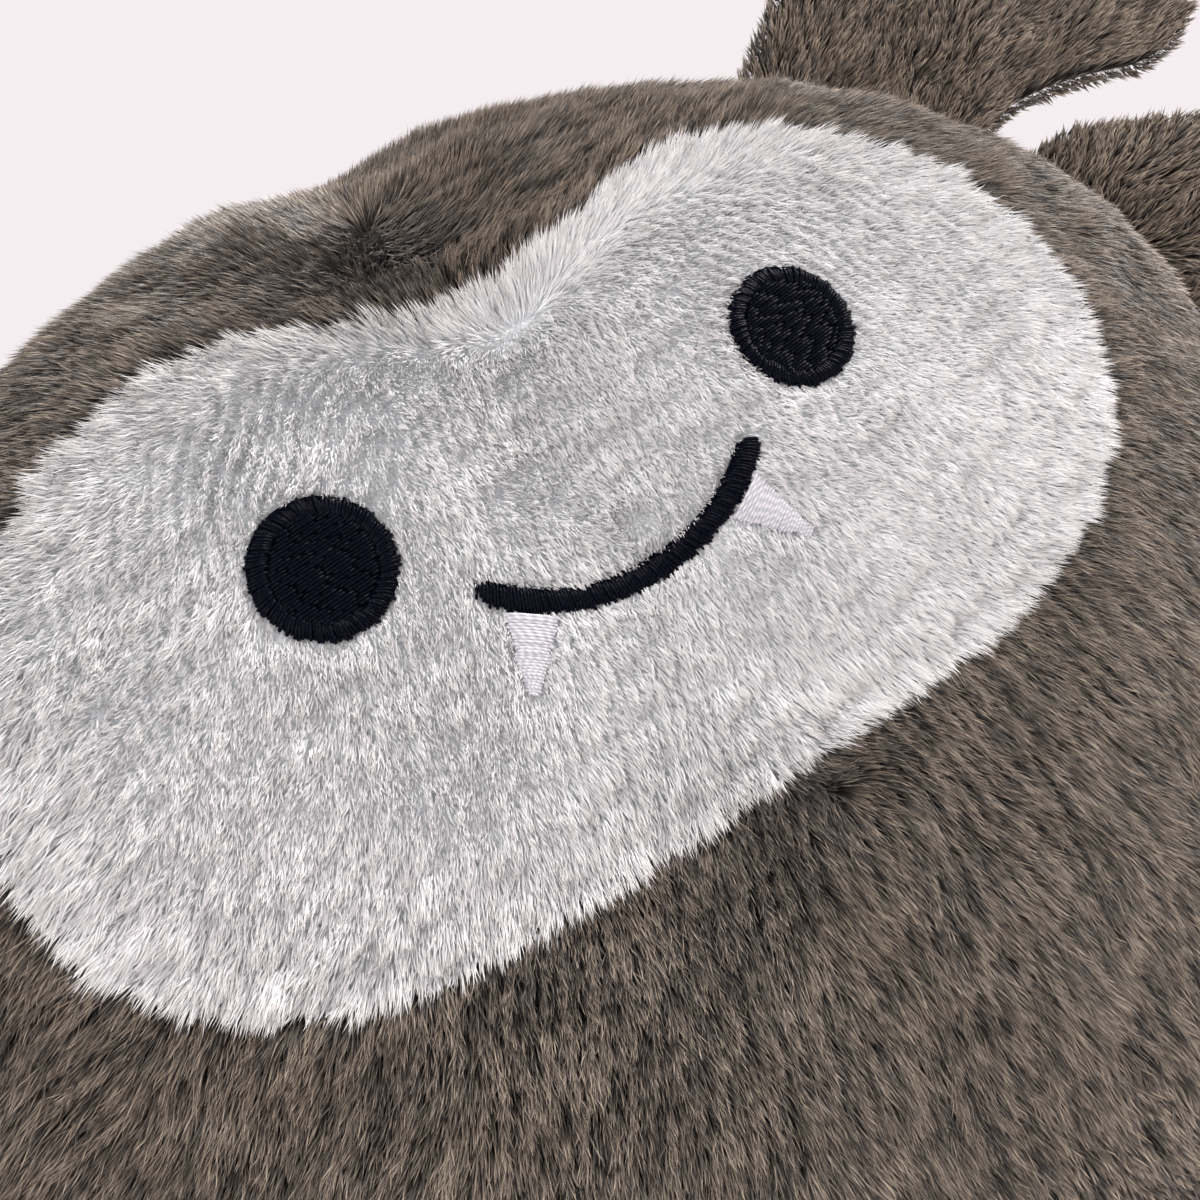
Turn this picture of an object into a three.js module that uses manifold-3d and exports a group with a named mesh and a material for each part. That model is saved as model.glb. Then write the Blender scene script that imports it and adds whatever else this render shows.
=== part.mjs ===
// A stuffed bat: one bun-shaped head and body that sits on a flat base, two ears and two wings sewn
// into its seams, and a pale face let into the front panel with embroidered eyes, smile and fangs.
// Millimetres, +Z up. The toy faces -Y and its origin is the middle of the flat base.
// Left and right are the toy's own, so its left ear and wing are at +X.
import * as THREE from "three";
import { mergeVertices } from "three/addons/utils/BufferGeometryUtils.js";
import Module from "manifold-3d";

const wasm = await Module();
wasm.setup();

// Head and body
const bodyHeight = 200;
const bodyHalfWidth = 104;
const bodyHalfDepth = 60;
const shoulderHeight = 128;
const hipHeight = 70;
const baseHalfWidth = 70;
const baseHalfDepth = 43;
const bellySwell = 4;
const bellyHeight = 74;
const bellySpan = 34;
const frontSquareness = 4.5;
const backSquareness = 2.4;
const domeRoundness = 1.75;
const browRoundness = 2.5;
const browDentDepth = 2;
const browDentWidth = 11;
const browDentHeight = 16;
const crownDentDepth = 2.5;
const crownDentWidth = 9;

// Plush skin and seams
const clothThickness = 1.2;
const pileDepth = 3.8;
const seamGap = 0.3;
const sideSeamDepth = -12;
const baseSeamHeight = 6;
const pelletPouchHeight = 46;
const pouchSlack = 2;

// Face, measured from the middle between the eyes
const eyeHeight = 148;
const eyeSpacing = 59;
const faceHalfWidth = 66;
const faceRise = 25;
const faceDrop = 41.5;
const eyeDiameter = 15;
const eyeRimWidth = 2.2;
const threadSink = 0.8;
const threadThickness = 2.4;
const smileRadius = 24.4;
const smileLowPoint = 16.2;
const smileHalfAngle = 43;
const smileStroke = 2.8;
const fangAngle = 31;
const fangWidth = 6.2;
const fangLength = 8.2;
const fangTipWidth = 1.2;

// Wings, each measured from its hinge: out along it, up and down beside its root
const wingHeight = 138;
const wingTurn = -13;
const wingSweep = 16;
const wingReach = 66;
const wingRise = 22;
const wingDrop = 53;
const wingHalfThickness = 11;
const wingTipHalfThickness = 6;
const wingEdgeHalfThickness = 2.4;
const wingBow = 5;
const wingCentreOut = 21;
const wingCentreUp = -12;
const waddingSlack = 0.5;
const waddingHalfThickness = 0.5;
const waddingShare = 0.56;
const wingFoldForward = 35;
const wingFoldBack = 25;

// Ears, measured the same way. They stand above the wings and clear of them.
const earAboveWing = 33;
const earTurn = -4;
const earLean = 3;
const earLength = 82;
const earRise = 19;
const earDrop = 72;
const earHalfThickness = 6.5;
const earEdgeHalfThickness = 2.2;
const earPleatDepth = 6;
const earPleatHeight = -9;
const earPleatWidth = 9;
const earRidgeDepth = 3;
const earRidgeHeight = -25;
const earRidgeWidth = 8;
const earFoldReach = 42;
const earCentreOut = 36;
const earCentreUp = -20;
const earFoldForward = 25;
const earFoldBack = 25;
const rootStep = 8;

// How finely the surfaces are faceted
const bodySides = 44;
const hipRings = 6;
const flankRings = 3;
const domeRings = 10;
const flapRings = 4;
const waddingRings = 3;
const curveSteps = 6;
const arcSteps = 12;

const skinThickness = clothThickness + pileDepth;
const farAway = 400;
const sides = [
  ["left", 1],
  ["right", -1],
];
const darkPlush = { color: 0x5e5852, roughness: 0.95, metalness: 0 };
const palePlush = { color: 0xd3d7d8, roughness: 0.95, metalness: 0 };
const blackThread = { color: 0x14151b, roughness: 0.45, metalness: 0 };
const whiteThread = { color: 0xf2f1f4, roughness: 0.45, metalness: 0 };
const whiteFibre = { color: 0xf4f2ee, roughness: 1, metalness: 0 };
const pouchCloth = { color: 0xb9b4aa, roughness: 0.9, metalness: 0 };

// Solids and meshes

/** A closed geometry as a solid that can be cut and joined. */
function solidFrom(geometry) {
  const bare = geometry.clone();
  bare.deleteAttribute("normal");
  bare.deleteAttribute("uv");
  const merged = mergeVertices(bare, 1e-4);
  return new wasm.Manifold(
    new wasm.Mesh({
      numProp: 3,
      vertProperties: merged.attributes.position.array,
      triVerts: new Uint32Array(merged.index.array),
    }),
  );
}

/** A solid's surface as a geometry. */
function geometryFrom(solid) {
  const mesh = solid.getMesh();
  const geometry = new THREE.BufferGeometry();
  geometry.setAttribute("position", new THREE.BufferAttribute(new Float32Array(mesh.vertProperties), 3));
  geometry.setIndex(new THREE.BufferAttribute(new Uint32Array(mesh.triVerts), 1));
  return geometry;
}

/** The same geometry on the other side of the plane x = 0, with its faces still pointing out. */
function mirrored(geometry) {
  const copy = geometry.clone().scale(-1, 1, 1);
  const corners = copy.index.array;
  for (let i = 0; i < corners.length; i += 3) {
    [corners[i + 1], corners[i + 2]] = [corners[i + 2], corners[i + 1]];
  }
  return copy;
}

/** A block between two corners. */
function block(low, high) {
  const size = high.clone().sub(low);
  const middle = low.clone().add(high).multiplyScalar(0.5);
  return solidFrom(new THREE.BoxGeometry(size.x, size.y, size.z).translate(middle.x, middle.y, middle.z));
}

/** Everything on one side of the level of an axis: side -1 keeps what is below it, +1 what is above. */
function halfSpace(axis, level, side) {
  const low = new THREE.Vector3(-farAway, -farAway, -farAway);
  const high = new THREE.Vector3(farAway, farAway, farAway);
  (side > 0 ? low : high)[axis] = level;
  return block(low, high);
}

/** A flat shape in x and z, drawn around the middle between the eyes, carried back through the front half. */
function faceCutter(shape) {
  const depth = bodyHalfDepth * 2;
  const geometry = new THREE.ExtrudeGeometry(shape, { depth, bevelEnabled: false, curveSegments: arcSteps });
  return solidFrom(geometry.rotateX(Math.PI / 2).translate(0, 0, eyeHeight));
}

/** A named mesh of one material, added to its group. */
function addMesh(group, name, geometry, finish) {
  const mesh = new THREE.Mesh(geometry, new THREE.MeshStandardMaterial(finish));
  mesh.name = name;
  group.add(mesh);
  return mesh;
}

// Head and body

/** Half the body's width and depth at a height, for a surface that lies inset below the fur. */
function halfSizes(height, inset) {
  const full = [bodyHalfWidth - inset, bodyHalfDepth - inset];
  const swell = bellySwell * Math.exp(-(((height - bellyHeight) / bellySpan) ** 2));
  if (height > shoulderHeight) {
    const rise = Math.min(1, (height - shoulderHeight) / (bodyHeight - inset - shoulderHeight));
    const narrowed = [domeRoundness, browRoundness].map((power) => (1 - rise ** power) ** (1 / power));
    return full.map((half, i) => (half + swell) * narrowed[i]);
  }
  if (height < hipHeight) {
    const drop = Math.min(1, (hipHeight - height) / (hipHeight - inset));
    const rounded = Math.sqrt(1 - drop ** 2);
    const base = [baseHalfWidth - inset, baseHalfDepth - inset];
    return full.map((half, i) => base[i] + (half + swell - base[i]) * rounded);
  }
  return full.map((half) => half + swell);
}

/** A point of the body's surface at a height and a turn, which is 0 at +X and a quarter turn at +Y. */
function bodyPoint(height, turn, inset = 0) {
  const [halfWidth, halfDepth] = halfSizes(height, inset);
  const across = Math.cos(turn);
  const along = Math.sin(turn);
  const power = along < 0 ? frontSquareness : backSquareness;
  const reach =
    (Math.abs(across / halfWidth) ** power + Math.abs(along / halfDepth) ** power) ** (-1 / power);
  const point = new THREE.Vector3(across * reach, along * reach, height);
  const facing = Math.max(0, -along) ** 2;
  const browX = point.x / browDentWidth;
  const browZ = (height - eyeHeight) / browDentHeight;
  point.y += browDentDepth * facing * Math.exp(-(browX ** 2) - browZ ** 2);
  const crown = Math.max(0, (height - shoulderHeight) / (bodyHeight - shoulderHeight));
  point.z -= crownDentDepth * crown ** 4 * Math.exp(-((point.x / crownDentWidth) ** 2));
  return point;
}

/** Heights of the rings of points that the body's surface is drawn through. */
function ringHeights(inset, coarseness) {
  const heights = [];
  for (let i = 0; i <= hipRings; i += coarseness) {
    heights.push(hipHeight - (hipHeight - inset) * Math.cos((i / hipRings) * (Math.PI / 2)));
  }
  for (let i = 1; i < flankRings; i += 1) {
    heights.push(hipHeight + ((shoulderHeight - hipHeight) * i) / flankRings);
  }
  const domeHeight = bodyHeight - inset - shoulderHeight;
  for (let i = 0; i < domeRings; i += coarseness) {
    heights.push(shoulderHeight + domeHeight * Math.sin((i / domeRings) * (Math.PI / 2)));
  }
  return heights;
}

/** The whole body as one solid whose surface lies inset below the fur. A negative inset is outside it. */
function bodyGeometry(inset, coarseness = 1) {
  const sides = bodySides / coarseness;
  const heights = ringHeights(inset, coarseness);
  const points = [new THREE.Vector3(0, 0, inset)];
  for (const height of heights) {
    for (let i = 0; i < sides; i += 1) points.push(bodyPoint(height, (i / sides) * 2 * Math.PI, inset));
  }
  points.push(new THREE.Vector3(0, 0, bodyHeight - inset - crownDentDepth));
  const corners = [];
  const top = points.length - 1;
  for (let i = 0; i < sides; i += 1) {
    const next = (i + 1) % sides;
    corners.push(0, 1 + next, 1 + i);
    for (let ring = 0; ring < heights.length - 1; ring += 1) {
      const lower = 1 + ring * sides;
      const upper = lower + sides;
      corners.push(lower + i, lower + next, upper + i, lower + next, upper + next, upper + i);
    }
    const last = 1 + (heights.length - 1) * sides;
    corners.push(last + i, last + next, top);
  }
  const geometry = new THREE.BufferGeometry().setFromPoints(points);
  geometry.setIndex(corners);
  return geometry;
}

// Outlines of the face, drawn around the middle between the eyes

/** The right half of the face's outline from top to bottom, as shares of its half width and its rise or drop. */
const faceShares = [
  [0, 0.74],
  [0.18, 0.82],
  [0.39, 1],
  [0.58, 0.96],
  [0.77, 0.72],
  [0.94, 0.24],
  [1, -0.19],
  [0.97, -0.53],
  [0.83, -0.8],
  [0.61, -0.95],
  [0.33, -0.99],
  [0, -1],
];

/** The bean-shaped outline of the face, moved outwards by a margin. */
function beanShape(margin) {
  const half = faceShares.map(([across, up]) => [across * faceHalfWidth, up * (up > 0 ? faceRise : faceDrop)]);
  const otherHalf = half.slice(1, -1).map(([x, z]) => [-x, z]);
  const around = [...half, ...otherHalf.reverse()];
  const curve = new THREE.CatmullRomCurve3(
    around.map(([x, z]) => new THREE.Vector3(x, z, 0)),
    true,
    "centripetal",
  );
  const steps = around.length * 3;
  const outline = [];
  for (let i = 0; i < steps; i += 1) {
    const point = curve.getPoint(i / steps);
    const forward = curve.getTangent(i / steps);
    outline.push(new THREE.Vector2(point.x - forward.y * margin, point.y + forward.x * margin));
  }
  return new THREE.Shape(outline);
}

/** A round disc or, with an inner radius, a ring. */
function roundShape(x, radius, innerRadius = 0) {
  const shape = new THREE.Shape();
  shape.absarc(x, 0, radius, 0, 2 * Math.PI);
  if (innerRadius > 0) {
    const hole = new THREE.Path();
    hole.absarc(x, 0, innerRadius, 0, 2 * Math.PI);
    shape.holes.push(hole);
  }
  return shape;
}

const smileCentre = smileRadius - smileLowPoint;

/** A point at a radius and an angle in degrees from straight down, about the centre of the smile's arc. */
function smilePoint(radius, degrees) {
  const angle = THREE.MathUtils.degToRad(degrees);
  return [radius * Math.sin(angle), smileCentre - radius * Math.cos(angle)];
}

/** The smile: a band along an arc, with round ends, widened all round by a margin. */
function smileShape(margin) {
  const low = THREE.MathUtils.degToRad(-90 - smileHalfAngle);
  const high = THREE.MathUtils.degToRad(-90 + smileHalfAngle);
  const half = smileStroke / 2 + margin;
  const shape = new THREE.Shape();
  shape.absarc(0, smileCentre, smileRadius + half, low, high, false);
  const [endX, endZ] = smilePoint(smileRadius, smileHalfAngle);
  shape.absarc(endX, endZ, half, high, high + Math.PI, false);
  shape.absarc(0, smileCentre, smileRadius - half, high, low, true);
  shape.absarc(-endX, endZ, half, low + Math.PI, low + 2 * Math.PI, false);
  return shape;
}

/** A fang under one end of the smile, side +1 or -1, pointing away from the arc's centre. */
function fangShape(side, margin) {
  const root = smileRadius + smileStroke / 2 + seamGap;
  const halfRoot = THREE.MathUtils.radToDeg((fangWidth / 2 + margin) / root);
  const tip = root + fangLength + margin;
  const halfTip = THREE.MathUtils.radToDeg((fangTipWidth / 2 + margin) / tip);
  const corners = [
    smilePoint(root - margin, fangAngle - halfRoot),
    smilePoint(tip, fangAngle - halfTip),
    smilePoint(tip, fangAngle + halfTip),
    smilePoint(root - margin, fangAngle + halfRoot),
  ];
  return new THREE.Shape(corners.map(([x, z]) => new THREE.Vector2(side * x, z)));
}

// Ears and wings

/**
 * A flap built on an outline: rings of points shrink from the outline to its middle, and each ring has
 * a place above and a place below the flap's middle surface.
 */
function flapGeometry(outline, centre, upper, lower, middle, shrink = 1, rings = flapRings) {
  const sides = outline.length;
  const points = [];
  for (const surface of [upper, lower]) {
    for (let ring = 0; ring <= rings; ring += 1) {
      const share = Math.sin((ring / rings) * (Math.PI / 2));
      const ringPoints = ring === 0 ? [centre] : outline;
      for (const corner of ringPoints) {
        const u = centre.x + (corner.x - centre.x) * share * shrink;
        const v = centre.y + (corner.y - centre.y) * share * shrink;
        points.push(new THREE.Vector3(u, v, middle(u, v) + surface(share * shrink, u)));
      }
    }
  }
  const layer = 1 + rings * sides;
  const corners = [];
  for (let i = 0; i < sides; i += 1) {
    const next = (i + 1) % sides;
    corners.push(0, 1 + i, 1 + next, layer, layer + 1 + next, layer + 1 + i);
    for (let ring = 0; ring < rings - 1; ring += 1) {
      const inner = 1 + ring * sides;
      const outer = inner + sides;
      corners.push(inner + i, outer + i, outer + next, inner + i, outer + next, inner + next);
      corners.push(layer + inner + i, layer + outer + next, layer + outer + i);
      corners.push(layer + inner + i, layer + inner + next, layer + outer + next);
    }
    const rim = 1 + (rings - 1) * sides;
    corners.push(rim + i, layer + rim + i, layer + rim + next, rim + i, layer + rim + next, rim + next);
  }
  const geometry = new THREE.BufferGeometry().setFromPoints(points);
  geometry.setIndex(corners);
  return geometry;
}

/**
 * Points along a closed outline of curves, turning left. Each row holds the control points of one curve,
 * as shares of the limb's length and of its rise or drop, and the last row leads back to the start.
 */
function limbOutline(start, rows, length, rise, drop) {
  const scaled = ([out, up]) => [out * length, up * (up > 0 ? rise : drop)];
  const shape = new THREE.Shape();
  shape.moveTo(...scaled(start));
  for (const row of rows) {
    const numbers = row.flatMap(scaled);
    if (row.length === 3) shape.bezierCurveTo(...numbers);
    else shape.quadraticCurveTo(...numbers);
  }
  shape.closePath();
  const points = shape.getPoints(curveSteps);
  if (points[0].distanceTo(points[points.length - 1]) < 1e-6) points.pop();
  return THREE.ShapeUtils.isClockWise(points) ? points.reverse() : points;
}

/**
 * The hinge of a limb that is sewn into the body: its point on the surface, the direction out of the
 * body, the direction up along the root, and the direction to the front.
 */
function rootFrame(height, turnDegrees, leanDegrees) {
  const turn = THREE.MathUtils.degToRad(turnDegrees);
  const point = bodyPoint(height, turn);
  const upward = bodyPoint(height + rootStep, turn).sub(bodyPoint(height - rootStep, turn));
  const rootLine = new THREE.Vector3(upward.x, 0, upward.z).normalize();
  const outward = new THREE.Vector3(rootLine.z, 0, -rootLine.x);
  outward.applyAxisAngle(rootLine, THREE.MathUtils.degToRad(-leanDegrees));
  const front = new THREE.Vector3().crossVectors(outward, rootLine);
  return { point, outward, rootLine, front };
}

/** Moves a flap drawn in u (outward), v (up the root) and w (front) to its place on the body. */
function placed(geometry, frame) {
  const matrix = new THREE.Matrix4().makeBasis(frame.outward, frame.rootLine, frame.front);
  matrix.setPosition(frame.point);
  return geometry.applyMatrix4(matrix);
}

/** The body, a seam's gap larger, as a limb meets it all the way through its fold. */
function bodySweptFor(frame, foldForward, foldBack) {
  const toRoot = new THREE.Matrix4().makeTranslation(frame.point.clone().negate());
  const fromRoot = new THREE.Matrix4().makeTranslation(frame.point);
  const stops = [0, foldForward / 2, foldForward, -foldBack / 2, -foldBack];
  const turns = stops.map((degrees) => {
    const turned = new THREE.Matrix4().makeRotationAxis(frame.rootLine, THREE.MathUtils.degToRad(degrees));
    const move = fromRoot.clone().multiply(turned).multiply(toRoot);
    return solidFrom(bodyGeometry(-seamGap).applyMatrix4(move));
  });
  return turns.reduce((joined, next) => joined.add(next));
}

/** The ear's outline: root inside the head, straight inner edge, round top, full lobe hanging outwards. */
function earOutline() {
  const rows = [
    [[0, 1], [0.24, 0.8], [0.44, 0.6]],
    [[0.66, 0.4], [0.86, 0.2], [0.95, -0.14]],
    [[1.04, -0.37], [1.02, -0.72], [0.86, -0.9]],
    [[0.74, -1.03], [0.56, -1.02], [0.46, -0.83]],
    [[0.37, -0.62], [0.24, -0.34], [-0.18, -0.27]],
  ];
  return limbOutline([-0.18, 1], rows, earLength, earRise, earDrop);
}

/** How far the ear's middle surface stands to the front: a pleat at the root with a ridge beside it. */
function earMiddle(u, v) {
  const fade = Math.exp(-((Math.max(u, 0) / earFoldReach) ** 2));
  const pleat = earPleatDepth * Math.exp(-(((v - earPleatHeight) / earPleatWidth) ** 2));
  const ridge = earRidgeDepth * Math.exp(-(((v - earRidgeHeight) / earRidgeWidth) ** 2));
  return fade * (ridge - pleat);
}

/** The wing's outline: full shoulder, straight leading edge, and three scallops along the lower edge. */
function wingOutline() {
  const rows = [
    [[-0.03, 1.04], [0.12, 1], [0.27, 0.6]],
    [[0.48, 0.07], [0.83, -0.26], [1, -0.72]],
    [[0.76, -0.74], [0.67, -1]],
    [[0.47, -0.85], [0.3, -1]],
    [[0.06, -0.75], [-0.21, -0.66]],
  ];
  return limbOutline([-0.21, 0.82], rows, wingReach, wingRise, wingDrop);
}

/** How far the wing's middle surface bows to the front between its root and its tip. */
function wingMiddle(u) {
  return wingBow * Math.sin((u / wingReach) * Math.PI);
}

/** Half the wing's thickness: full at the shoulder, thin at the tip and at the edges. */
function wingHalf(share, u) {
  const full = wingHalfThickness + (wingTipHalfThickness - wingHalfThickness) * (u / wingReach);
  return wingEdgeHalfThickness + (full - wingEdgeHalfThickness) * Math.max(0, 1 - share ** 2) ** 0.7;
}

/** Half the ear's thickness, thin at the edges. */
function earHalf(share) {
  return earEdgeHalfThickness + (earHalfThickness - earEdgeHalfThickness) * (1 - share ** 2) ** 0.6;
}

/** Both copies of a limb's pieces, each in a group at its hinge, cut clear of the body. */
function addLimbs(toy, limb, frame, swept, pieces) {
  for (const [side, sign] of sides) {
    const group = new THREE.Group();
    group.position.set(frame.point.x * sign, frame.point.y, frame.point.z);
    group.userData.hingeAxis = new THREE.Vector3(-frame.rootLine.x, -frame.rootLine.y * sign, -frame.rootLine.z * sign);
    toy.add(group);
    for (const [piece, geometry, finish] of pieces) {
      const trimmed = geometryFrom(solidFrom(placed(geometry.clone(), frame)).subtract(swept));
      trimmed.translate(-frame.point.x, -frame.point.y, -frame.point.z);
      addMesh(group, `${limb}_${side}_${piece}`, sign > 0 ? trimmed : mirrored(trimmed), finish);
    }
  }
}

// The toy

const toy = new THREE.Group();

// Skin panels: the front carries the face, the back closes along its middle, the base is flat
const outside = solidFrom(bodyGeometry(0));
const skin = outside.subtract(solidFrom(bodyGeometry(skinThickness)));
const walls = skin.intersect(halfSpace("z", baseSeamHeight + seamGap / 2, 1));
const frontWall = walls.intersect(halfSpace("y", sideSeamDepth - seamGap / 2, -1));
const backWall = walls.intersect(halfSpace("y", sideSeamDepth + seamGap / 2, 1));
const frontPanel = frontWall.subtract(faceCutter(beanShape(seamGap / 2)));
const backLeft = geometryFrom(backWall.intersect(halfSpace("x", seamGap / 2, 1)));
addMesh(toy, "body_front_panel", geometryFrom(frontPanel), darkPlush);
addMesh(toy, "body_back_left_panel", backLeft, darkPlush);
addMesh(toy, "body_back_right_panel", mirrored(backLeft), darkPlush);
const basePanel = skin.intersect(halfSpace("z", baseSeamHeight - seamGap / 2, -1));
addMesh(toy, "base_panel", geometryFrom(basePanel), darkPlush);

// Filling: loose fibre above, a slack pouch of pellets below
const insideSkin = solidFrom(bodyGeometry(skinThickness + seamGap));
const fillingBody = solidFrom(bodyGeometry(skinThickness + seamGap, 2)).intersect(insideSkin);
const filling = fillingBody.intersect(halfSpace("z", pelletPouchHeight + seamGap, 1));
addMesh(toy, "fibre_filling", geometryFrom(filling), whiteFibre);
const pouchBody = solidFrom(bodyGeometry(skinThickness + pouchSlack, 2).translate(0, 0, seamGap - pouchSlack));
const pouch = pouchBody.intersect(halfSpace("z", pelletPouchHeight, -1));
addMesh(toy, "pellet_pouch", geometryFrom(pouch), pouchCloth);

// Face: the patch fills the window, and the embroidery lies in pockets pressed into its pile
const threadTop = solidFrom(bodyGeometry(threadSink));
const threadFloor = solidFrom(bodyGeometry(threadSink + threadThickness));
const threadLayer = threadTop.subtract(threadFloor);
const pocketFloor = solidFrom(bodyGeometry(threadSink + threadThickness + seamGap));
const pocketLayer = solidFrom(bodyGeometry(-1)).subtract(pocketFloor);
const eyeRadius = eyeDiameter / 2;
const fillRadius = eyeRadius - eyeRimWidth - seamGap;

let patch = frontWall.intersect(faceCutter(beanShape(-seamGap / 2)));
const pocketShapes = [smileShape(seamGap)];
for (const [, side] of sides) {
  pocketShapes.push(roundShape((side * eyeSpacing) / 2, eyeRadius + seamGap), fangShape(side, seamGap));
}
for (const shape of pocketShapes) patch = patch.subtract(faceCutter(shape).intersect(pocketLayer));
addMesh(toy, "face_patch", geometryFrom(patch), palePlush);

/** A piece of embroidery with the given outline, lying along the surface of the face. */
function addEmbroidery(name, shape, finish) {
  addMesh(toy, name, geometryFrom(faceCutter(shape).intersect(threadLayer)), finish);
}
for (const [name, side] of sides) {
  const eyeX = (side * eyeSpacing) / 2;
  addEmbroidery(`eye_${name}_rim`, roundShape(eyeX, eyeRadius, eyeRadius - eyeRimWidth), blackThread);
  addEmbroidery(`eye_${name}_middle`, roundShape(eyeX, fillRadius), blackThread);
  addEmbroidery(`fang_${name}`, fangShape(side, 0), whiteThread);
}
addEmbroidery("smile", smileShape(0), blackThread);

// Ears: a front and a back of plush, sewn edge to edge with nothing between them
const earFrame = rootFrame(wingHeight + earAboveWing, earTurn, earLean);
const earCentre = new THREE.Vector2(earCentreOut, earCentreUp);
const earShape = earOutline();
const earSwept = bodySweptFor(earFrame, earFoldForward, earFoldBack);
const halfSeam = seamGap / 2;
addLimbs(toy, "ear", earFrame, earSwept, [
  ["front", flapGeometry(earShape, earCentre, earHalf, () => halfSeam, earMiddle), darkPlush],
  ["back", flapGeometry(earShape, earCentre, () => -halfSeam, (share) => -earHalf(share), earMiddle), darkPlush],
]);

// Wings: a front and a back of plush around a thin pad of wadding
const wingFrame = rootFrame(wingHeight, wingTurn, wingSweep);
const wingCentre = new THREE.Vector2(wingCentreOut, wingCentreUp);
const wingShape = wingOutline();
const wingSwept = bodySweptFor(wingFrame, wingFoldForward, wingFoldBack);
const wingInside = (share, u) => Math.max(halfSeam, wingHalf(share, u) - skinThickness);
const waddingHalf = (share, u) => Math.max(waddingHalfThickness, wingInside(share, u) - waddingSlack);
addLimbs(toy, "wing", wingFrame, wingSwept, [
  ["front", flapGeometry(wingShape, wingCentre, wingHalf, wingInside, wingMiddle), darkPlush],
  [
    "back",
    flapGeometry(
      wingShape,
      wingCentre,
      (share, u) => -wingInside(share, u),
      (share, u) => -wingHalf(share, u),
      wingMiddle,
    ),
    darkPlush,
  ],
  [
    "wadding",
    flapGeometry(
      wingShape,
      wingCentre,
      waddingHalf,
      (share, u) => -waddingHalf(share, u),
      wingMiddle,
      waddingShare,
      waddingRings,
    ),
    whiteFibre,
  ],
]);

export default toy;
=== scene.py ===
import logging
import math
from collections.abc import Callable
from dataclasses import dataclass
from enum import Enum

import bpy
import numpy as np
from bpy.types import Material, Node, NodeSocket, NodeTree, Object
from mathutils import Matrix, Vector


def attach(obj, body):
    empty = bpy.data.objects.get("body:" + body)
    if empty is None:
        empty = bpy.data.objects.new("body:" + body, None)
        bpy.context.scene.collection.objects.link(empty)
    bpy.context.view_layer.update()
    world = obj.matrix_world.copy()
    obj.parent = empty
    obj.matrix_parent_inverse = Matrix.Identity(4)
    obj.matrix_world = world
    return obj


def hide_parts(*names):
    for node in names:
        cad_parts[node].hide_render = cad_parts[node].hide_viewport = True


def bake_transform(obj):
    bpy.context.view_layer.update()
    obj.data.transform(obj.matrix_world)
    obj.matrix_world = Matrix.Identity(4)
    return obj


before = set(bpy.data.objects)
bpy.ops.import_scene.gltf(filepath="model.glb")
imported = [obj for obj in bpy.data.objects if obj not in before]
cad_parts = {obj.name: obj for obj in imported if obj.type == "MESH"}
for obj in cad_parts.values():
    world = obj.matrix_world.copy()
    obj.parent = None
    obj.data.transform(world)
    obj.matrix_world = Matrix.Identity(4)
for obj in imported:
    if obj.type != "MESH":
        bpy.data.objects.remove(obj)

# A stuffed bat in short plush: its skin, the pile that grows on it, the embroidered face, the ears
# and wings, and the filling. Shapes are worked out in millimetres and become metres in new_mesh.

MILLIMETRE = 0.001
FULL_TURN = 2.0 * math.pi
PILE_MAP = "OFBake"
STRAND_MAP = "Strand"
TONE_SLIVER = 0.0012
TONE_LIMITS = (0.02, 0.98)
Array = np.ndarray
Pair = tuple[float, float]
Triple = tuple[float, float, float]
Colour = Triple
log = logging.getLogger("bat")


# Named choices


class Slot(Enum):
    """The record's material slots."""

    DARK = "dark_plush"
    PALE = "pale_plush"
    BLACK = "black_thread"
    WHITE = "white_thread"
    FIBRE = "white_fibre"
    POUCH = "pouch_cloth"


class Side(Enum):
    """The toy's own left and right, with the sign of X there."""

    LEFT = 1
    RIGHT = -1

    @property
    def label(self) -> str:
        """The side's word in the names of pieces."""
        return self.name.lower()

    def holds(self, x: Array) -> Array:
        """Whether places across are on this side. The middle plane counts as right."""
        return x > 0.0 if self is Side.LEFT else x <= 0.0


class LimbKind(Enum):
    """The two kinds of flap that are sewn to the body."""

    EAR = "ear"
    WING = "wing"


class Socket(Enum):
    """Types of the sockets of shader groups."""

    COLOUR = "NodeSocketColor"
    VALUE = "NodeSocketFloat"
    VECTOR = "NodeSocketVector"


# Numbers and vectors


def unit(vectors: Array) -> Array:
    """Vectors scaled to length 1: v / |v|."""
    return vectors / np.maximum(np.linalg.norm(vectors, axis=-1, keepdims=True), 1e-9)


def smooth(low: float, high: float, value: Array) -> Array:
    """A soft step: s * s * (3 - 2 s) with s = (value - low) / (high - low) held between 0 and 1."""
    share = np.clip((value - low) / (high - low), 0.0, 1.0)
    return share * share * (3.0 - 2.0 * share)


def bump(value: Array, middle: float, width: float) -> Array:
    """A soft hill: exp(-((value - middle) / width) squared)."""
    return np.exp(-(((value - middle) / width) ** 2))


def along_surface(vectors: Array, normals: Array) -> Array:
    """The part of each vector that lies along the surface: v - (v . n) n."""
    return vectors - (vectors * normals).sum(-1, keepdims=True) * normals


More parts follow.
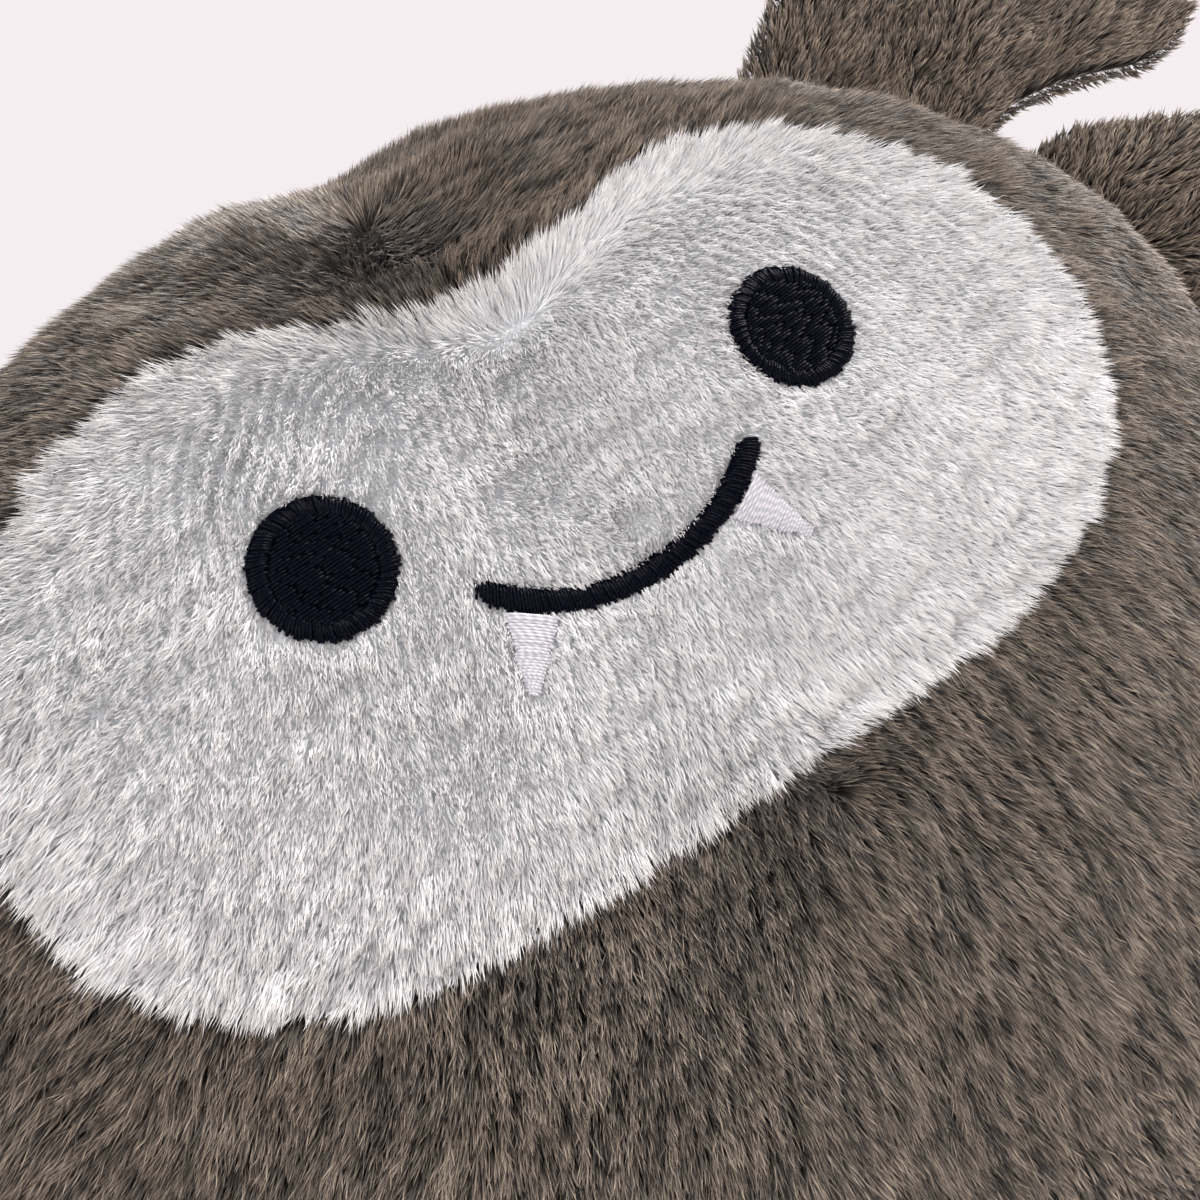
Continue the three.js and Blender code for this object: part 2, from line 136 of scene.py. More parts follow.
@dataclass(frozen=True)
class Waves:
    """Smooth repeatable unevenness in space, a sum of plane waves of about one wavelength, in mm.

    height is a factor, and spread is the least and the largest rate of a wave, as shares of the usual one.
    """

    wavelength: float
    seed: int
    height: float = 1.0
    count: int = 12
    spread: Pair = (0.7, 1.4)

    def drawn(self) -> tuple[Array, Array, Array]:
        """Draws directions evenly over a sphere, and rates of 2 pi / wavelength times the spread.

        Returns:
            The waves' directions, their directions times their rates, and their phases.
        """
        rng = np.random.default_rng(self.seed)
        directions = unit(rng.normal(size=(self.count, 3)))
        rates = FULL_TURN / self.wavelength * rng.uniform(*self.spread, self.count)
        return directions, directions * rates[:, None], rng.uniform(0.0, FULL_TURN, self.count)

    def value(self, points: Array) -> Array:
        """Height at each point: h sqrt(2 / n) * sum of sin(w . p + f), mostly between -2 h and 2 h."""
        _, waves, phases = self.drawn()
        return self.height * (np.sin(points @ waves.T + phases).sum(-1) * math.sqrt(2.0 / self.count))

    def slope(self, points: Array) -> Array:
        """The way up at each point: h sqrt(2 / n) * sum of d cos(w . p + f), with d the directions."""
        directions, waves, phases = self.drawn()
        return self.height * (np.cos(points @ waves.T + phases) @ directions * math.sqrt(2.0 / self.count))

    def streaks(self, points: Array, along: Array, reach: float) -> tuple[Array, Array]:
        """Height and way up, as means over a short line through each place.

        The mean of sin(w . (p + t u)) for t from -r to r is sin(w . p) * sin(r w . u) / (r w . u).

        Args:
            points: (n, 3) places in mm.
            along: (n, 3) directions u of the lines.
            reach: half the lines' length r, in mm.

        Returns:
            The heights and the ways up.
        """
        directions, waves, phases = self.drawn()
        place = points @ waves.T + phases
        kept = np.sinc(reach / np.pi * (along @ waves.T)) * math.sqrt(2.0 / self.count) * self.height
        return (np.sin(place) * kept).sum(-1), (np.cos(place) * kept) @ directions


# Meshes


def new_mesh(name: str, points: Array, corners: Array, uv: Array | None = None,
             uv_name: str = STRAND_MAP) -> Object:
    """A mesh object from arrays, shaded smooth.

    Args:
        name: the object's name.
        points: (n, 3) places in mm.
        corners: (f, k) vertex numbers of faces that all have k corners.
        uv: (f * k, 2) map coordinates of the face corners, or None.
        uv_name: the name of that map.

    Returns:
        The object, linked to the scene.
    """
    mesh = bpy.data.meshes.new(name)
    faces, sides = corners.shape
    mesh.vertices.add(len(points))
    mesh.vertices.foreach_set("co", (np.asarray(points, np.float32) * MILLIMETRE).ravel())
    mesh.loops.add(faces * sides)
    mesh.loops.foreach_set("vertex_index", corners.astype(np.int32).ravel())
    mesh.polygons.add(faces)
    mesh.polygons.foreach_set("loop_start", np.arange(0, faces * sides, sides, dtype=np.int32))
    mesh.polygons.foreach_set("use_smooth", np.full(faces, True))
    if uv is not None:
        layer = mesh.uv_layers.new(name=uv_name)
        layer.data.foreach_set("uv", uv.astype(np.float32).ravel())
    mesh.update(calc_edges=True)
    obj = bpy.data.objects.new(name, mesh)
    bpy.context.scene.collection.objects.link(obj)
    return obj


def grid_corners(rows: int, columns: int, closed: bool) -> Array:
    """The quads of a grid whose vertices are numbered row by row.

    Args:
        rows: how many rows of vertices.
        columns: how many vertices in a row.
        closed: whether the last column meets the first.

    Returns:
        (f, 4) vertex numbers.
    """
    last = columns if closed else columns - 1
    row, column = np.meshgrid(np.arange(rows - 1), np.arange(last), indexing="ij")
    beside = (column + 1) % columns
    low, high = row * columns, (row + 1) * columns
    return np.stack([low + column, low + beside, high + beside, high + column], -1).reshape(-1, 4)


def triangles(corners: Array) -> Array:
    """Quads as pairs of triangles."""
    return np.concatenate([corners[:, [0, 1, 2]], corners[:, [0, 2, 3]]])


@dataclass
class Surface:
    """A surface of points in mm and triangles that face outwards."""

    points: Array
    faces: Array

    def keep(self, chosen: Array) -> "Surface":
        """A part of the surface.

        Args:
            chosen: whether each face stays.

        Returns:
            The surface of those faces and the points that they use.
        """
        faces = self.faces[chosen]
        used, numbers = np.unique(faces, return_inverse=True)
        return Surface(self.points[used], numbers.reshape(-1, 3))

    def middles(self) -> Array:
        """The middle of each face, the mean of its three corners."""
        return self.points[self.faces].mean(1)

    def _doubled_areas(self) -> Array:
        """Each face's outward direction times twice its area, (b - a) x (c - a)."""
        a, b, c = (self.points[self.faces[:, i]] for i in range(3))
        return np.cross(b - a, c - a)

    def normals(self) -> Array:
        """The outward direction at each point, the faces round it weighted by their area.

        Returns:
            (n, 3) directions of length 1.
        """
        face = self._doubled_areas()
        total = np.zeros_like(self.points)
        for i in range(3):
            np.add.at(total, self.faces[:, i], face)
        return unit(total)

    def scatter(self, density: Callable[[Array], Array],
                seed: int) -> tuple[Array, Array]:
        """Points spread evenly over the surface.

        Args:
            density: function of places that gives points per square mm there.
            seed: the same seed gives the same points.

        Returns:
            The places and the outward directions there.
        """
        rng = np.random.default_rng(seed)
        area = np.linalg.norm(self._doubled_areas(), axis=1) / 2.0
        sums = np.cumsum(area * density(self.middles()))
        count = int(sums[-1])
        marks = (np.arange(count) + rng.random(count)) * (sums[-1] / count)
        face = np.minimum(np.searchsorted(sums, marks), len(area) - 1)
        first, second = rng.random((2, count))
        outside = first + second > 1.0
        first[outside], second[outside] = 1.0 - first[outside], 1.0 - second[outside]
        weights = np.stack([1.0 - first - second, first, second], 1)[:, :, None]
        corner = self.faces[face]
        return (self.points[corner] * weights).sum(1), unit((self.normals()[corner] * weights).sum(1))

    def to_object(self, name: str) -> Object:
        """The surface as a mesh object."""
        return new_mesh(name, self.points, self.faces)


def evenly(density: float) -> Callable[[Array], Array]:
    """A density for Surface.scatter that is the same everywhere."""
    return lambda places: np.full(len(places), density)


# The body's form


@dataclass(frozen=True)
class Mound:
    """A soft hill or hollow of the stuffed front, the same on both sides of the face.

    It has its height in mm, its middle and half width across, and its middle and reach over the eyes.
    """

    height: float
    across: float
    width: float
    up: float
    reach: float

    def rise(self, x: Array, up: Array) -> Array:
        """How far it stands out at a place: height * hill(|x|) * hill(up)."""
        return self.height * bump(np.abs(x), self.across, self.width) * bump(up, self.up, self.reach)


@dataclass(frozen=True)
class BodyForm:
    """The bun of the head and body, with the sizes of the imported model, in mm.

    Squareness and roundness are powers of its outlines. A dent has its depth, half width and half height.
    The pucker is where the seam under the face draws in: a ring and a pit, each with its height, distance
    and half width. The gathers on the head have a pitch per radian, a slant and a drift, and the middle
    and half size of their stretch, up and across.
    """

    height: float = 200.0
    half_width: float = 104.0
    half_depth: float = 60.0
    shoulder: float = 128.0
    hip: float = 70.0
    base_half_width: float = 70.0
    base_half_depth: float = 43.0
    belly_swell: float = 4.0
    belly_height: float = 74.0
    belly_span: float = 34.0
    front_squareness: float = 4.5
    back_squareness: float = 2.4
    dome_roundness: float = 1.75
    brow_roundness: float = 2.5
    brow_dent: Triple = (2.0, 11.0, 16.0)
    crown_dent: Pair = (2.5, 9.0)
    eye_height: float = 148.0
    mounds: tuple[Mound, ...] = (
        Mound(-1.3, 0.0, 12.0, 6.0, 17.0),
        Mound(1.1, 41.0, 17.0, -23.0, 15.0),
        Mound(-0.9, 47.0, 5.0, 4.0, 15.0),
    )
    pucker: Pair = (6.0, 102.0)
    pucker_rim: Triple = (0.5, 6.5, 3.0)
    pucker_pit: Triple = (-1.5, 0.0, 3.2)
    gather_height: float = 0.9
    gather_pitch: float = 1.45
    gather_slant: float = 0.05
    gather_drift: Waves = Waves(40.0, 3)
    gather_rise: Pair = (42.0, 9.0)
    gather_span: Pair = (4.0, 42.0)
    unevenness: Waves = Waves(42.0, 5, 0.45)

    def half_sizes(self, z: Array, inset: float) -> tuple[Array, Array]:
        """Half the width and half the depth at a height.

        Above the shoulder each is full * (1 - r^p)^(1/p), with r the share of the dome's height. Below
        the hip each is base + (full - base) * sqrt(1 - d^2), with d the share of the way down.

        Args:
            z: heights.
            inset: how far inside the outer surface, in mm.

        Returns:
            The half widths and the half depths.
        """
        swell = self.belly_swell * bump(z, self.belly_height, self.belly_span)
        rise = np.clip((z - self.shoulder) / (self.height - inset - self.shoulder), 0.0, 1.0)
        drop = np.clip((self.hip - z) / (self.hip - inset), 0.0, 1.0)
        rounded = np.sqrt(1.0 - drop**2)
        sizes = []
        for full, base, power in (
            (self.half_width, self.base_half_width, self.dome_roundness),
            (self.half_depth, self.base_half_depth, self.brow_roundness),
        ):
            half, low = full - inset + swell, base - inset
            dome = half * (1.0 - rise**power) ** (1.0 / power)
            sizes.append(np.where(z > self.shoulder, dome, low + (half - low) * rounded))
        return sizes[0], sizes[1]

    def relief(self, x: Array, z: Array) -> Array:
        """How far the stuffed front stands out, a sum of soft hills and hollows.

        The pucker is a ring round a pit. The gathers are sin(z / pitch + slant x + drift), faded out
        to the sides and away from their height.

        Args:
            x: places across.
            z: heights.

        Returns:
            The relief in mm.
        """
        flat = np.stack([x, np.zeros_like(x), z], -1)
        up = z - self.eye_height
        mounds = sum(mound.rise(x, up) for mound in self.mounds)
        far = np.hypot(x - self.pucker[0], z - self.pucker[1])
        pucker = sum(height * bump(far, *ring) for height, *ring in (self.pucker_rim, self.pucker_pit))
        phase = z / self.gather_pitch + self.gather_slant * x + self.gather_drift.value(flat)
        gathers = self.gather_height * np.sin(phase) * bump(up, *self.gather_rise)
        stuffing = self.unevenness.value(flat)
        return mounds + pucker + gathers * bump(x, *self.gather_span) + stuffing

    def front(self, x: Array, z: Array, inset: float) -> Array:
        """Places on the front of the body.

        y = -D (1 - |x / W|^n)^(1/n), with W and D the half sizes there, plus the dents and the relief.

        Args:
            x: places across.
            z: heights.
            inset: how far below the tips of the pile.

        Returns:
            (n, 3) places in mm.
        """
        width, depth = self.half_sizes(z, inset)
        n = self.front_squareness
        y = -depth * np.maximum(1.0 - np.abs(x / width) ** n, 1e-6) ** (1.0 / n)
        return np.stack([x, y + self._dents(x, y, z), z], -1)

    def front_normals(self, x: Array, z: Array, step: float = 0.25) -> Array:
        """Outward directions of the front, the cross product of two short steps.

        Args:
            x: places across.
            z: heights.
            step: how far each step goes to either side, in mm.

        Returns:
            (n, 3) directions of length 1.
        """
        across = self.front(x + step, z, 0.0) - self.front(x - step, z, 0.0)
        upward = self.front(x, z + step, 0.0) - self.front(x, z - step, 0.0)
        return unit(np.cross(across, upward))

    def _dents(self, x: Array, y: Array, z: Array) -> Array:
        """How far back the front moves: the dent of the brow less the relief, both fading to the sides.

        Args:
            x, y, z: places on the body without dents.

        Returns:
            Distances in mm, towards +Y.
        """
        depth, wide, high = self.brow_dent
        brow = depth * bump(x, 0.0, wide) * bump(z, self.eye_height, high)
        return self.facing(x, y) * (brow - self.relief(x, z))

    @staticmethod
    def facing(x: Array, y: Array) -> Array:
        """How much a place faces the front: (-y / hypot(x, y))^2, and 0 behind the middle."""
        return np.maximum(0.0, -y / np.maximum(np.hypot(x, y), 1e-6)) ** 2

    def around(self, z: Array, turn: Array, inset: float) -> Array:
        """Places round the body.

        A superellipse: (cos t, sin t) * (|cos t / W|^n + |sin t / D|^n)^(-1/n).

        Args:
            z: heights.
            turn: turns t in radians, 0 at +X and a quarter turn at +Y.
            inset: how far inside the outer surface.

        Returns:
            Places in mm, in the shape that z and turn have together.
        """
        z, turn = np.broadcast_arrays(z, turn)
        width, depth = (np.maximum(half, 1e-3) for half in self.half_sizes(z, inset))
        across, forth = np.cos(turn), np.sin(turn)
        n = np.where(forth < 0.0, self.front_squareness, self.back_squareness)
        reach = (np.abs(across / width) ** n + np.abs(forth / depth) ** n) ** (-1.0 / n)
        x, y = across * reach, forth * reach
        crown = np.clip((z - self.shoulder) / (self.height - self.shoulder), 0.0, 1.0)
        dent, wide = self.crown_dent
        lowered = z - dent * crown**4 * bump(x, 0.0, wide)
        return np.stack([x, y + self._dents(x, y, z), lowered], -1)

    def plain_around(self, z: Array, turn: float) -> Array:
        """Places round the body without its relief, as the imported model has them.

        Args:
            z: heights.
            turn: one turn in radians.

        Returns:
            (n, 3) places in mm.
        """
        places = self.around(z, np.full_like(z, turn), 0.0)
        x, y = places[:, 0], places[:, 1]
        places[:, 1] = y + self.facing(x, y) * self.relief(x, z)
        return places

    def rings(self, inset: float, low: float, high: float, count: int, sides: int) -> Surface:
        """A closed solid of rings from one height to another, with flat rings below and above.

        The heights follow a half turn, z = (low + high) / 2 - (high - low) / 2 * cos(pi * share), so
        that they crowd at both ends.

        Args:
            inset: how far inside the outer surface.
            low, high: heights of the lowest and the highest ring.
            count: how many rings.
            sides: how many points in a ring.

        Returns:
            The solid's surface.
        """
        share = np.linspace(0.0, 1.0, count)
        z = (low + high) / 2.0 - (high - low) / 2.0 * np.cos(np.pi * share)
        turn = np.linspace(0.0, FULL_TURN, sides, endpoint=False)
        wall = self.around(z[:, None], turn[None, :], inset)
        scales = np.array([0.02, 0.25, 0.5, 0.75, 0.93])[:, None, None]
        floor, lid = wall[:1] * [1.0, 1.0, 0.0], wall[-1:] * [1.0, 1.0, 0.0]
        below = floor * scales + [0.0, 0.0, wall[0, 0, 2]]
        above = lid * scales[::-1] + wall[-1:] * [0.0, 0.0, 1.0]
        points = np.concatenate([below, wall, above])
        faces = triangles(grid_corners(len(points), sides, closed=True))
        return Surface(points.reshape(-1, 3), faces)

    def holds(self, points: Array, inset: float) -> Array:
        """Whether each place is inside the body, by |x / W|^n + |y / D|^n < 1 at its height.

        Args:
            points: (n, 3) places in mm.
            inset: how far inside the outer surface the limit is.

        Returns:
            True for each place inside.
        """
        x, y, z = points.T
        width, depth = (np.maximum(half, 1e-3) for half in self.half_sizes(z, inset))
        n = np.where(y < 0.0, self.front_squareness, self.back_squareness)
        inside = np.abs(x / width) ** n + np.abs(y / depth) ** n < 1.0
        return inside & (z > inset) & (z < self.height - inset)


@dataclass(frozen=True)
class FaceOutline:
    """The bean shape of the face, round the middle between the eyes, in mm.

    rise and drop are how far it reaches above and below the eyes, and middle is where its own middle is.
    shares are its points on the toy's left, from top to bottom, as shares of those sizes.
    """

    half_width: float = 66.0
    rise: float = 25.0
    drop: float = 41.5
    middle: float = -12.0
    shares: tuple[Pair, ...] = (
        (0, 0.74), (0.18, 0.82), (0.39, 1), (0.58, 0.96), (0.77, 0.72), (0.94, 0.24),
        (1, -0.19), (0.97, -0.53), (0.83, -0.8), (0.61, -0.95), (0.33, -0.99), (0, -1),
    )

    def outline(self, steps: int = 16) -> Array:
        """The outline as a closed curve through its points.

        A cubic through p1 and p2 with tangents (p1-p0)/d0 - (p2-p0)/(d0+d1) + (p2-p1)/d1, and the like
        at p2, where each d is the square root of the distance between two points.

        Args:
            steps: how many points for each stretch of the curve.

        Returns:
            (n, 2) places across and up.
        """
        half = np.array(self.shares, float)
        heights = np.where(half[:, 1:] > 0, [1.0, self.rise], [1.0, self.drop])
        half = half * [self.half_width, 1.0] * heights
        p1 = np.concatenate([half, (half[1:-1] * [-1.0, 1.0])[::-1]])
        p0, p2, p3 = np.roll(p1, 1, 0), np.roll(p1, -1, 0), np.roll(p1, -2, 0)
        pairs = ((p0, p1), (p1, p2), (p2, p3))
        d0, d1, d2 = (np.sqrt(np.linalg.norm(b - a, axis=1))[:, None] for a, b in pairs)
        t1 = ((p1 - p0) / d0 - (p2 - p0) / (d0 + d1) + (p2 - p1) / d1) * d1
        t2 = ((p2 - p1) / d1 - (p3 - p1) / (d1 + d2) + (p3 - p2) / d2) * d1
        s = (np.arange(steps) / steps)[None, :, None]
        basis = (2 * s**3 - 3 * s**2 + 1, s**3 - 2 * s**2 + s, 3 * s**2 - 2 * s**3, s**3 - s**2)
        parts = (p1, t1, p2, t2)
        return sum(weight * part[:, None] for weight, part in zip(basis, parts)).reshape(-1, 2)

    def reach(self, angle: Array) -> Array:
        """How far the outline is from its middle, between the curve's own points.

        Args:
            angle: directions in radians.

        Returns:
            Distances in mm.
        """
        x, z = (self.outline() - [0.0, self.middle]).T
        turn, far = np.arctan2(z, x), np.hypot(x, z)
        order = np.argsort(turn)
        return np.interp(angle, turn[order], far[order], period=FULL_TURN)

    def depth(self, x: Array, up: Array) -> Array:
        """How far in mm places are inside the outline, on lines from its middle. Negative is outside."""
        return self.reach(np.arctan2(up - self.middle, x)) - np.hypot(x, up - self.middle)


BODY = BodyForm()
FACE = FaceOutline()


def face_depth(points: Array) -> Array:
    """How far inside the face's outline places in space are, as seen from the front."""
    return FACE.depth(points[:, 0], points[:, 2] - BODY.eye_height)


def on_front(x: Array, up: Array, inset: float | Array, closed: bool) -> Surface:
    """A sheet on the front, so far below the pile's tips, from rows of places that run outwards."""
    points = BODY.front(x.ravel(), up.ravel() + BODY.eye_height, inset)
    return Surface(points, triangles(grid_corners(*x.shape, closed)[:, ::-1]))


# Embroidery outlines, round the middle between the eyes


@dataclass(frozen=True)
class Embroidery:
    """Sizes of the stitched eyes, smile and fangs, in mm, and in degrees from the smile's lowest point.

    top and pad are how far the highest stitches and the backing lie below the tips of the pile, and
    fang_part is how much the pile beside a fang is pushed down, as a share of how much aside.
    """

    eye_spacing: float = 59.0
    eye_radius: float = 7.5
    eye_rim: float = 2.2
    smile_radius: float = 24.4
    smile_low: float = 16.2
    smile_half_angle: float = 43.0
    smile_stroke: float = 2.8
    fang_angle: float = 31.0
    fang_width: float = 6.2
    fang_length: float = 8.2
    fang_tip: float = 1.2
    fang_part: float = 0.2
    seam: float = 0.3
    thread: float = 0.2
    top: float = 0.9
    pad: float = 1.5

    @property
    def smile_centre(self) -> float:
        """Height of the middle of the smile's arc."""
        return self.smile_radius - self.smile_low

    @property
    def smile_edge(self) -> float:
        """Radius of the smile's lower edge."""
        return self.smile_radius + self.smile_stroke / 2.0

    def eye_middle(self, side: Side) -> float:
        """Where an eye's middle is, across."""
        return side.value * self.eye_spacing / 2.0

    def smile_point(self, radius: Array, degrees: Array) -> Array:
        """A place on an arc: (r sin a, centre - r cos a), with a from straight down."""
        angle = np.radians(degrees)
        return np.stack([radius * np.sin(angle), self.smile_centre - radius * np.cos(angle)], -1)

    def fang_half(self, share: Array) -> Array:
        """Half a fang's width, which shrinks evenly to its tip."""
        return self.fang_width / 2.0 * (1.0 - share) + self.fang_tip / 2.0 * share

    def eye_gap(self, x: Array, up: Array) -> tuple[Array, Array]:
        """Distance from the nearer eye's edge, negative inside, and the direction away from it."""
        away = np.stack([x - np.sign(x) * self.eye_spacing / 2.0, up], -1)
        return np.linalg.norm(away, axis=-1) - self.eye_radius, unit(away)

    def smile_gap(self, x: Array, up: Array) -> tuple[Array, Array]:
        """The nearest point of the arc, its angle held between the smile's ends, gives both.

        Args:
            x: places across.
            up: their heights over the eyes.

        Returns:
            Distance from the smile's edge, negative inside, and the direction away from it.
        """
        limit = math.radians(self.smile_half_angle)
        angle = np.clip(np.arctan2(x, self.smile_centre - up), -limit, limit)
        nearest = np.stack([np.sin(angle), -np.cos(angle)], -1) * self.smile_radius
        away = np.stack([x, up - self.smile_centre], -1) - nearest
        return np.linalg.norm(away, axis=-1) - self.smile_stroke / 2.0, unit(away)

    def fang_gap(self, x: Array, up: Array) -> tuple[Array, Array]:
        """The larger of the distances past a fang's side, its tip and its root.

        Args:
            x: places across.
            up: their heights over the eyes.

        Returns:
            Distance from the nearer fang's sides, negative inside, and the direction away from it.
        """
        angle = math.radians(self.fang_angle)
        down = np.array([math.sin(angle), -math.cos(angle)])
        beside = np.array([math.cos(angle), math.sin(angle)])
        place = np.stack([np.abs(x), up - self.smile_centre], -1)
        length = place @ down - self.smile_edge
        across = place @ beside
        half = self.fang_half(np.clip(length / self.fang_length, 0.0, 1.0))
        gap = np.maximum(np.abs(across) - half, np.maximum(-length, length - self.fang_length))
        downward = np.where(length > self.fang_length, 1.0, self.fang_part)
        away = np.sign(across)[:, None] * beside + downward[:, None] * down
        return gap, unit(away * np.stack([np.sign(x), np.ones_like(x)], -1))

    def gaps(self, points: Array) -> tuple[Array, Array]:
        """How far places on the front are from the eyes, the smile and the fangs.

        Args:
            points: (n, 3) places in mm.

        Returns:
            (n, 3) distances, negative inside the stitches, and (n, 3, 3) directions away from them.
        """
        x, up = points[:, 0], points[:, 2] - BODY.eye_height
        found = (self.eye_gap(x, up), self.smile_gap(x, up), self.fang_gap(x, up))
        gaps = np.stack([gap for gap, _ in found], -1)
        away = np.stack([flat for _, flat in found], 1)
        return gaps, np.stack([away[..., 0], np.zeros(gaps.shape), away[..., 1]], -1)


STITCHES = Embroidery()


# Pile


@dataclass
class Strands:
    """Blades of pile: each has a root, two points beside its middle and a tip, and a tone from 0 to 1."""

    points: Array
    tone: Array

    def to_object(self, name: str) -> Object:
        """The blades as one mesh.

        Its map runs from root to tip along U and has each blade's tone as V, give or take TONE_SLIVER
        at the middle, so that a blade isn't a line on the map.

        Args:
            name: the object's name.

        Returns:
            The object.
        """
        count = len(self.points)
        first = np.arange(count)[:, None] * 4
        corners = np.concatenate([first + [0, 2, 1], first + [1, 2, 3]], 1).reshape(-1, 3)
        root = np.stack([np.zeros(count), self.tone], -1)
        left = np.stack([np.full(count, 0.5), self.tone - TONE_SLIVER], -1)
        right = np.stack([np.full(count, 0.5), self.tone + TONE_SLIVER], -1)
        tip = np.stack([np.ones(count), self.tone], -1)
        uv = np.stack([root, right, left, left, right, tip], 1).reshape(-1, 2)
        return new_mesh(name, self.points.reshape(-1, 3), corners, uv, PILE_MAP)

    def keep(self, chosen: Array) -> "Strands":
        """Only some of the blades."""
        return Strands(self.points[chosen], self.tone[chosen])

    def shade(self, change: Array | float) -> None:
        """Makes blades paler or darker, within the limits of their tone."""
        self.tone = (self.tone + change).clip(*TONE_LIMITS)


@dataclass(frozen=True)
class Nap:
    """How a stretch of pile is cut and lies, in mm and radians.

    Tips gather into tufts, by clump, tuft apart and drawn out by streak to both sides. lengths and widths
    are the least and the largest strand as shares of the usual one, and steepest is how far a strand and
    its upper half lean at most. Between tufts strands are painted darker, as painted shade of the hollows
    between tufts, and on tufts paler, as painted light, and uneven is the shape, the scale and the offset
    of the draw by which single ones are darker or paler.
    """

    clump: float
    tuft: float
    streak: float
    spread: float
    curl: float
    seed: int
    low_lean: float = 0.55
    high_lean: float = 1.2
    lean_spread: float = 0.45
    steepest: Pair = (1.42, 1.5)
    gather: float = 1.9
    gather_low: float = 0.35
    lengths: Pair = (0.82, 1.08)
    widths: Pair = (0.75, 1.25)
    roll: float = 0.6
    lowest: float = 0.15
    tuft_waves: int = 26
    # Painted shade and light: how much darker strands are painted between tufts and paler on them, and how
    # fast that sets in.
    painted_tuft_shade: float = 0.17
    painted_tuft_shade_rate: float = 1.9
    uneven: Triple = (1.6, 0.15, 0.24)
    patches: float = 17.0
    patch_tone: float = 0.025

    def grow(self, roots: Array, normals: Array, lie: Array, lean: Array,
             length: Array, width: Array | float) -> Strands:
        """Grows one blade on each root.

        Each blade leaves its root at low_lean of its lean and bends to high_lean of it past its middle,
        and its tip moves down the slope of a fine field of waves, so that tips meet in tufts. The field
        is drawn out along the way that the pile lies, so that the tufts are streaks. Its tone is
        0.5 + an uneven draw - shade * tanh(rate * the field's height) + soft patches, where the shade term
        is painted shade between tufts and painted light on them.

        Args:
            roots: (n, 3) places in mm.
            normals: outward directions there.
            lie: directions along the surface that the pile is combed in. A short one stands it up.
            lean: angles from upright, in radians.
            length: lengths in mm.
            width: widths of the blades in mm.

        Returns:
            The blades.
        """
        rng = np.random.default_rng(self.seed)
        count = len(roots)
        strength = np.clip(np.linalg.norm(lie, axis=1), 0.0, 1.0)
        combed = unit(along_surface(lie + 1e-4, normals))
        across = np.cross(normals, combed)
        turn = rng.normal(0.0, self.spread, count)[:, None]
        forth = combed * np.cos(turn) + across * np.sin(turn)
        beside = across * np.cos(turn) - combed * np.sin(turn)
        angle = lean * strength + rng.normal(0.0, self.spread * self.lean_spread, count)
        angle = angle.clip(0.0, self.steepest[0])
        length = length * rng.uniform(*self.lengths, count)
        half = length[:, None] / 2.0
        low = (angle * self.low_lean)[:, None]
        high = np.minimum(angle * self.high_lean, self.steepest[1])[:, None]
        lower = normals * np.cos(low) + forth * np.sin(low)
        upper = normals * np.cos(high) + forth * np.sin(high)
        tufts = Waves(self.tuft, self.seed + 11, count=self.tuft_waves)
        height, uphill = tufts.streaks(roots, combed, self.streak)
        gather = along_surface(-uphill, normals) * (self.gather * self.clump)
        curl = beside * (rng.normal(0.0, self.curl, count) * length)[:, None]
        middle = roots + lower * half + gather * self.gather_low + curl
        tip = middle + upper * half + gather * (1.0 - self.gather_low)
        roll = rng.normal(0.0, self.roll, count)[:, None]
        aside = unit(beside * np.cos(roll) + np.cross(lower, beside) * np.sin(roll))
        aside = aside * (width / 2.0 * rng.uniform(*self.widths, count))[:, None]
        points = np.stack([roots, middle - aside, middle + aside, tip], 1)
        points[:, :, 2] = np.maximum(points[:, :, 2], self.lowest)
        # Painted shade and light: darker tone between tufts, paler tone on them.
        painted_tuft_shade = np.tanh(self.painted_tuft_shade_rate * height) * self.painted_tuft_shade
        shape, scale, offset = self.uneven
        uneven = rng.gamma(shape, scale, count) - offset
        tone = 0.5 + uneven - painted_tuft_shade + Waves(self.patches, self.seed + 5, self.patch_tone).value(roots)
        return Strands(points, tone.clip(*TONE_LIMITS))


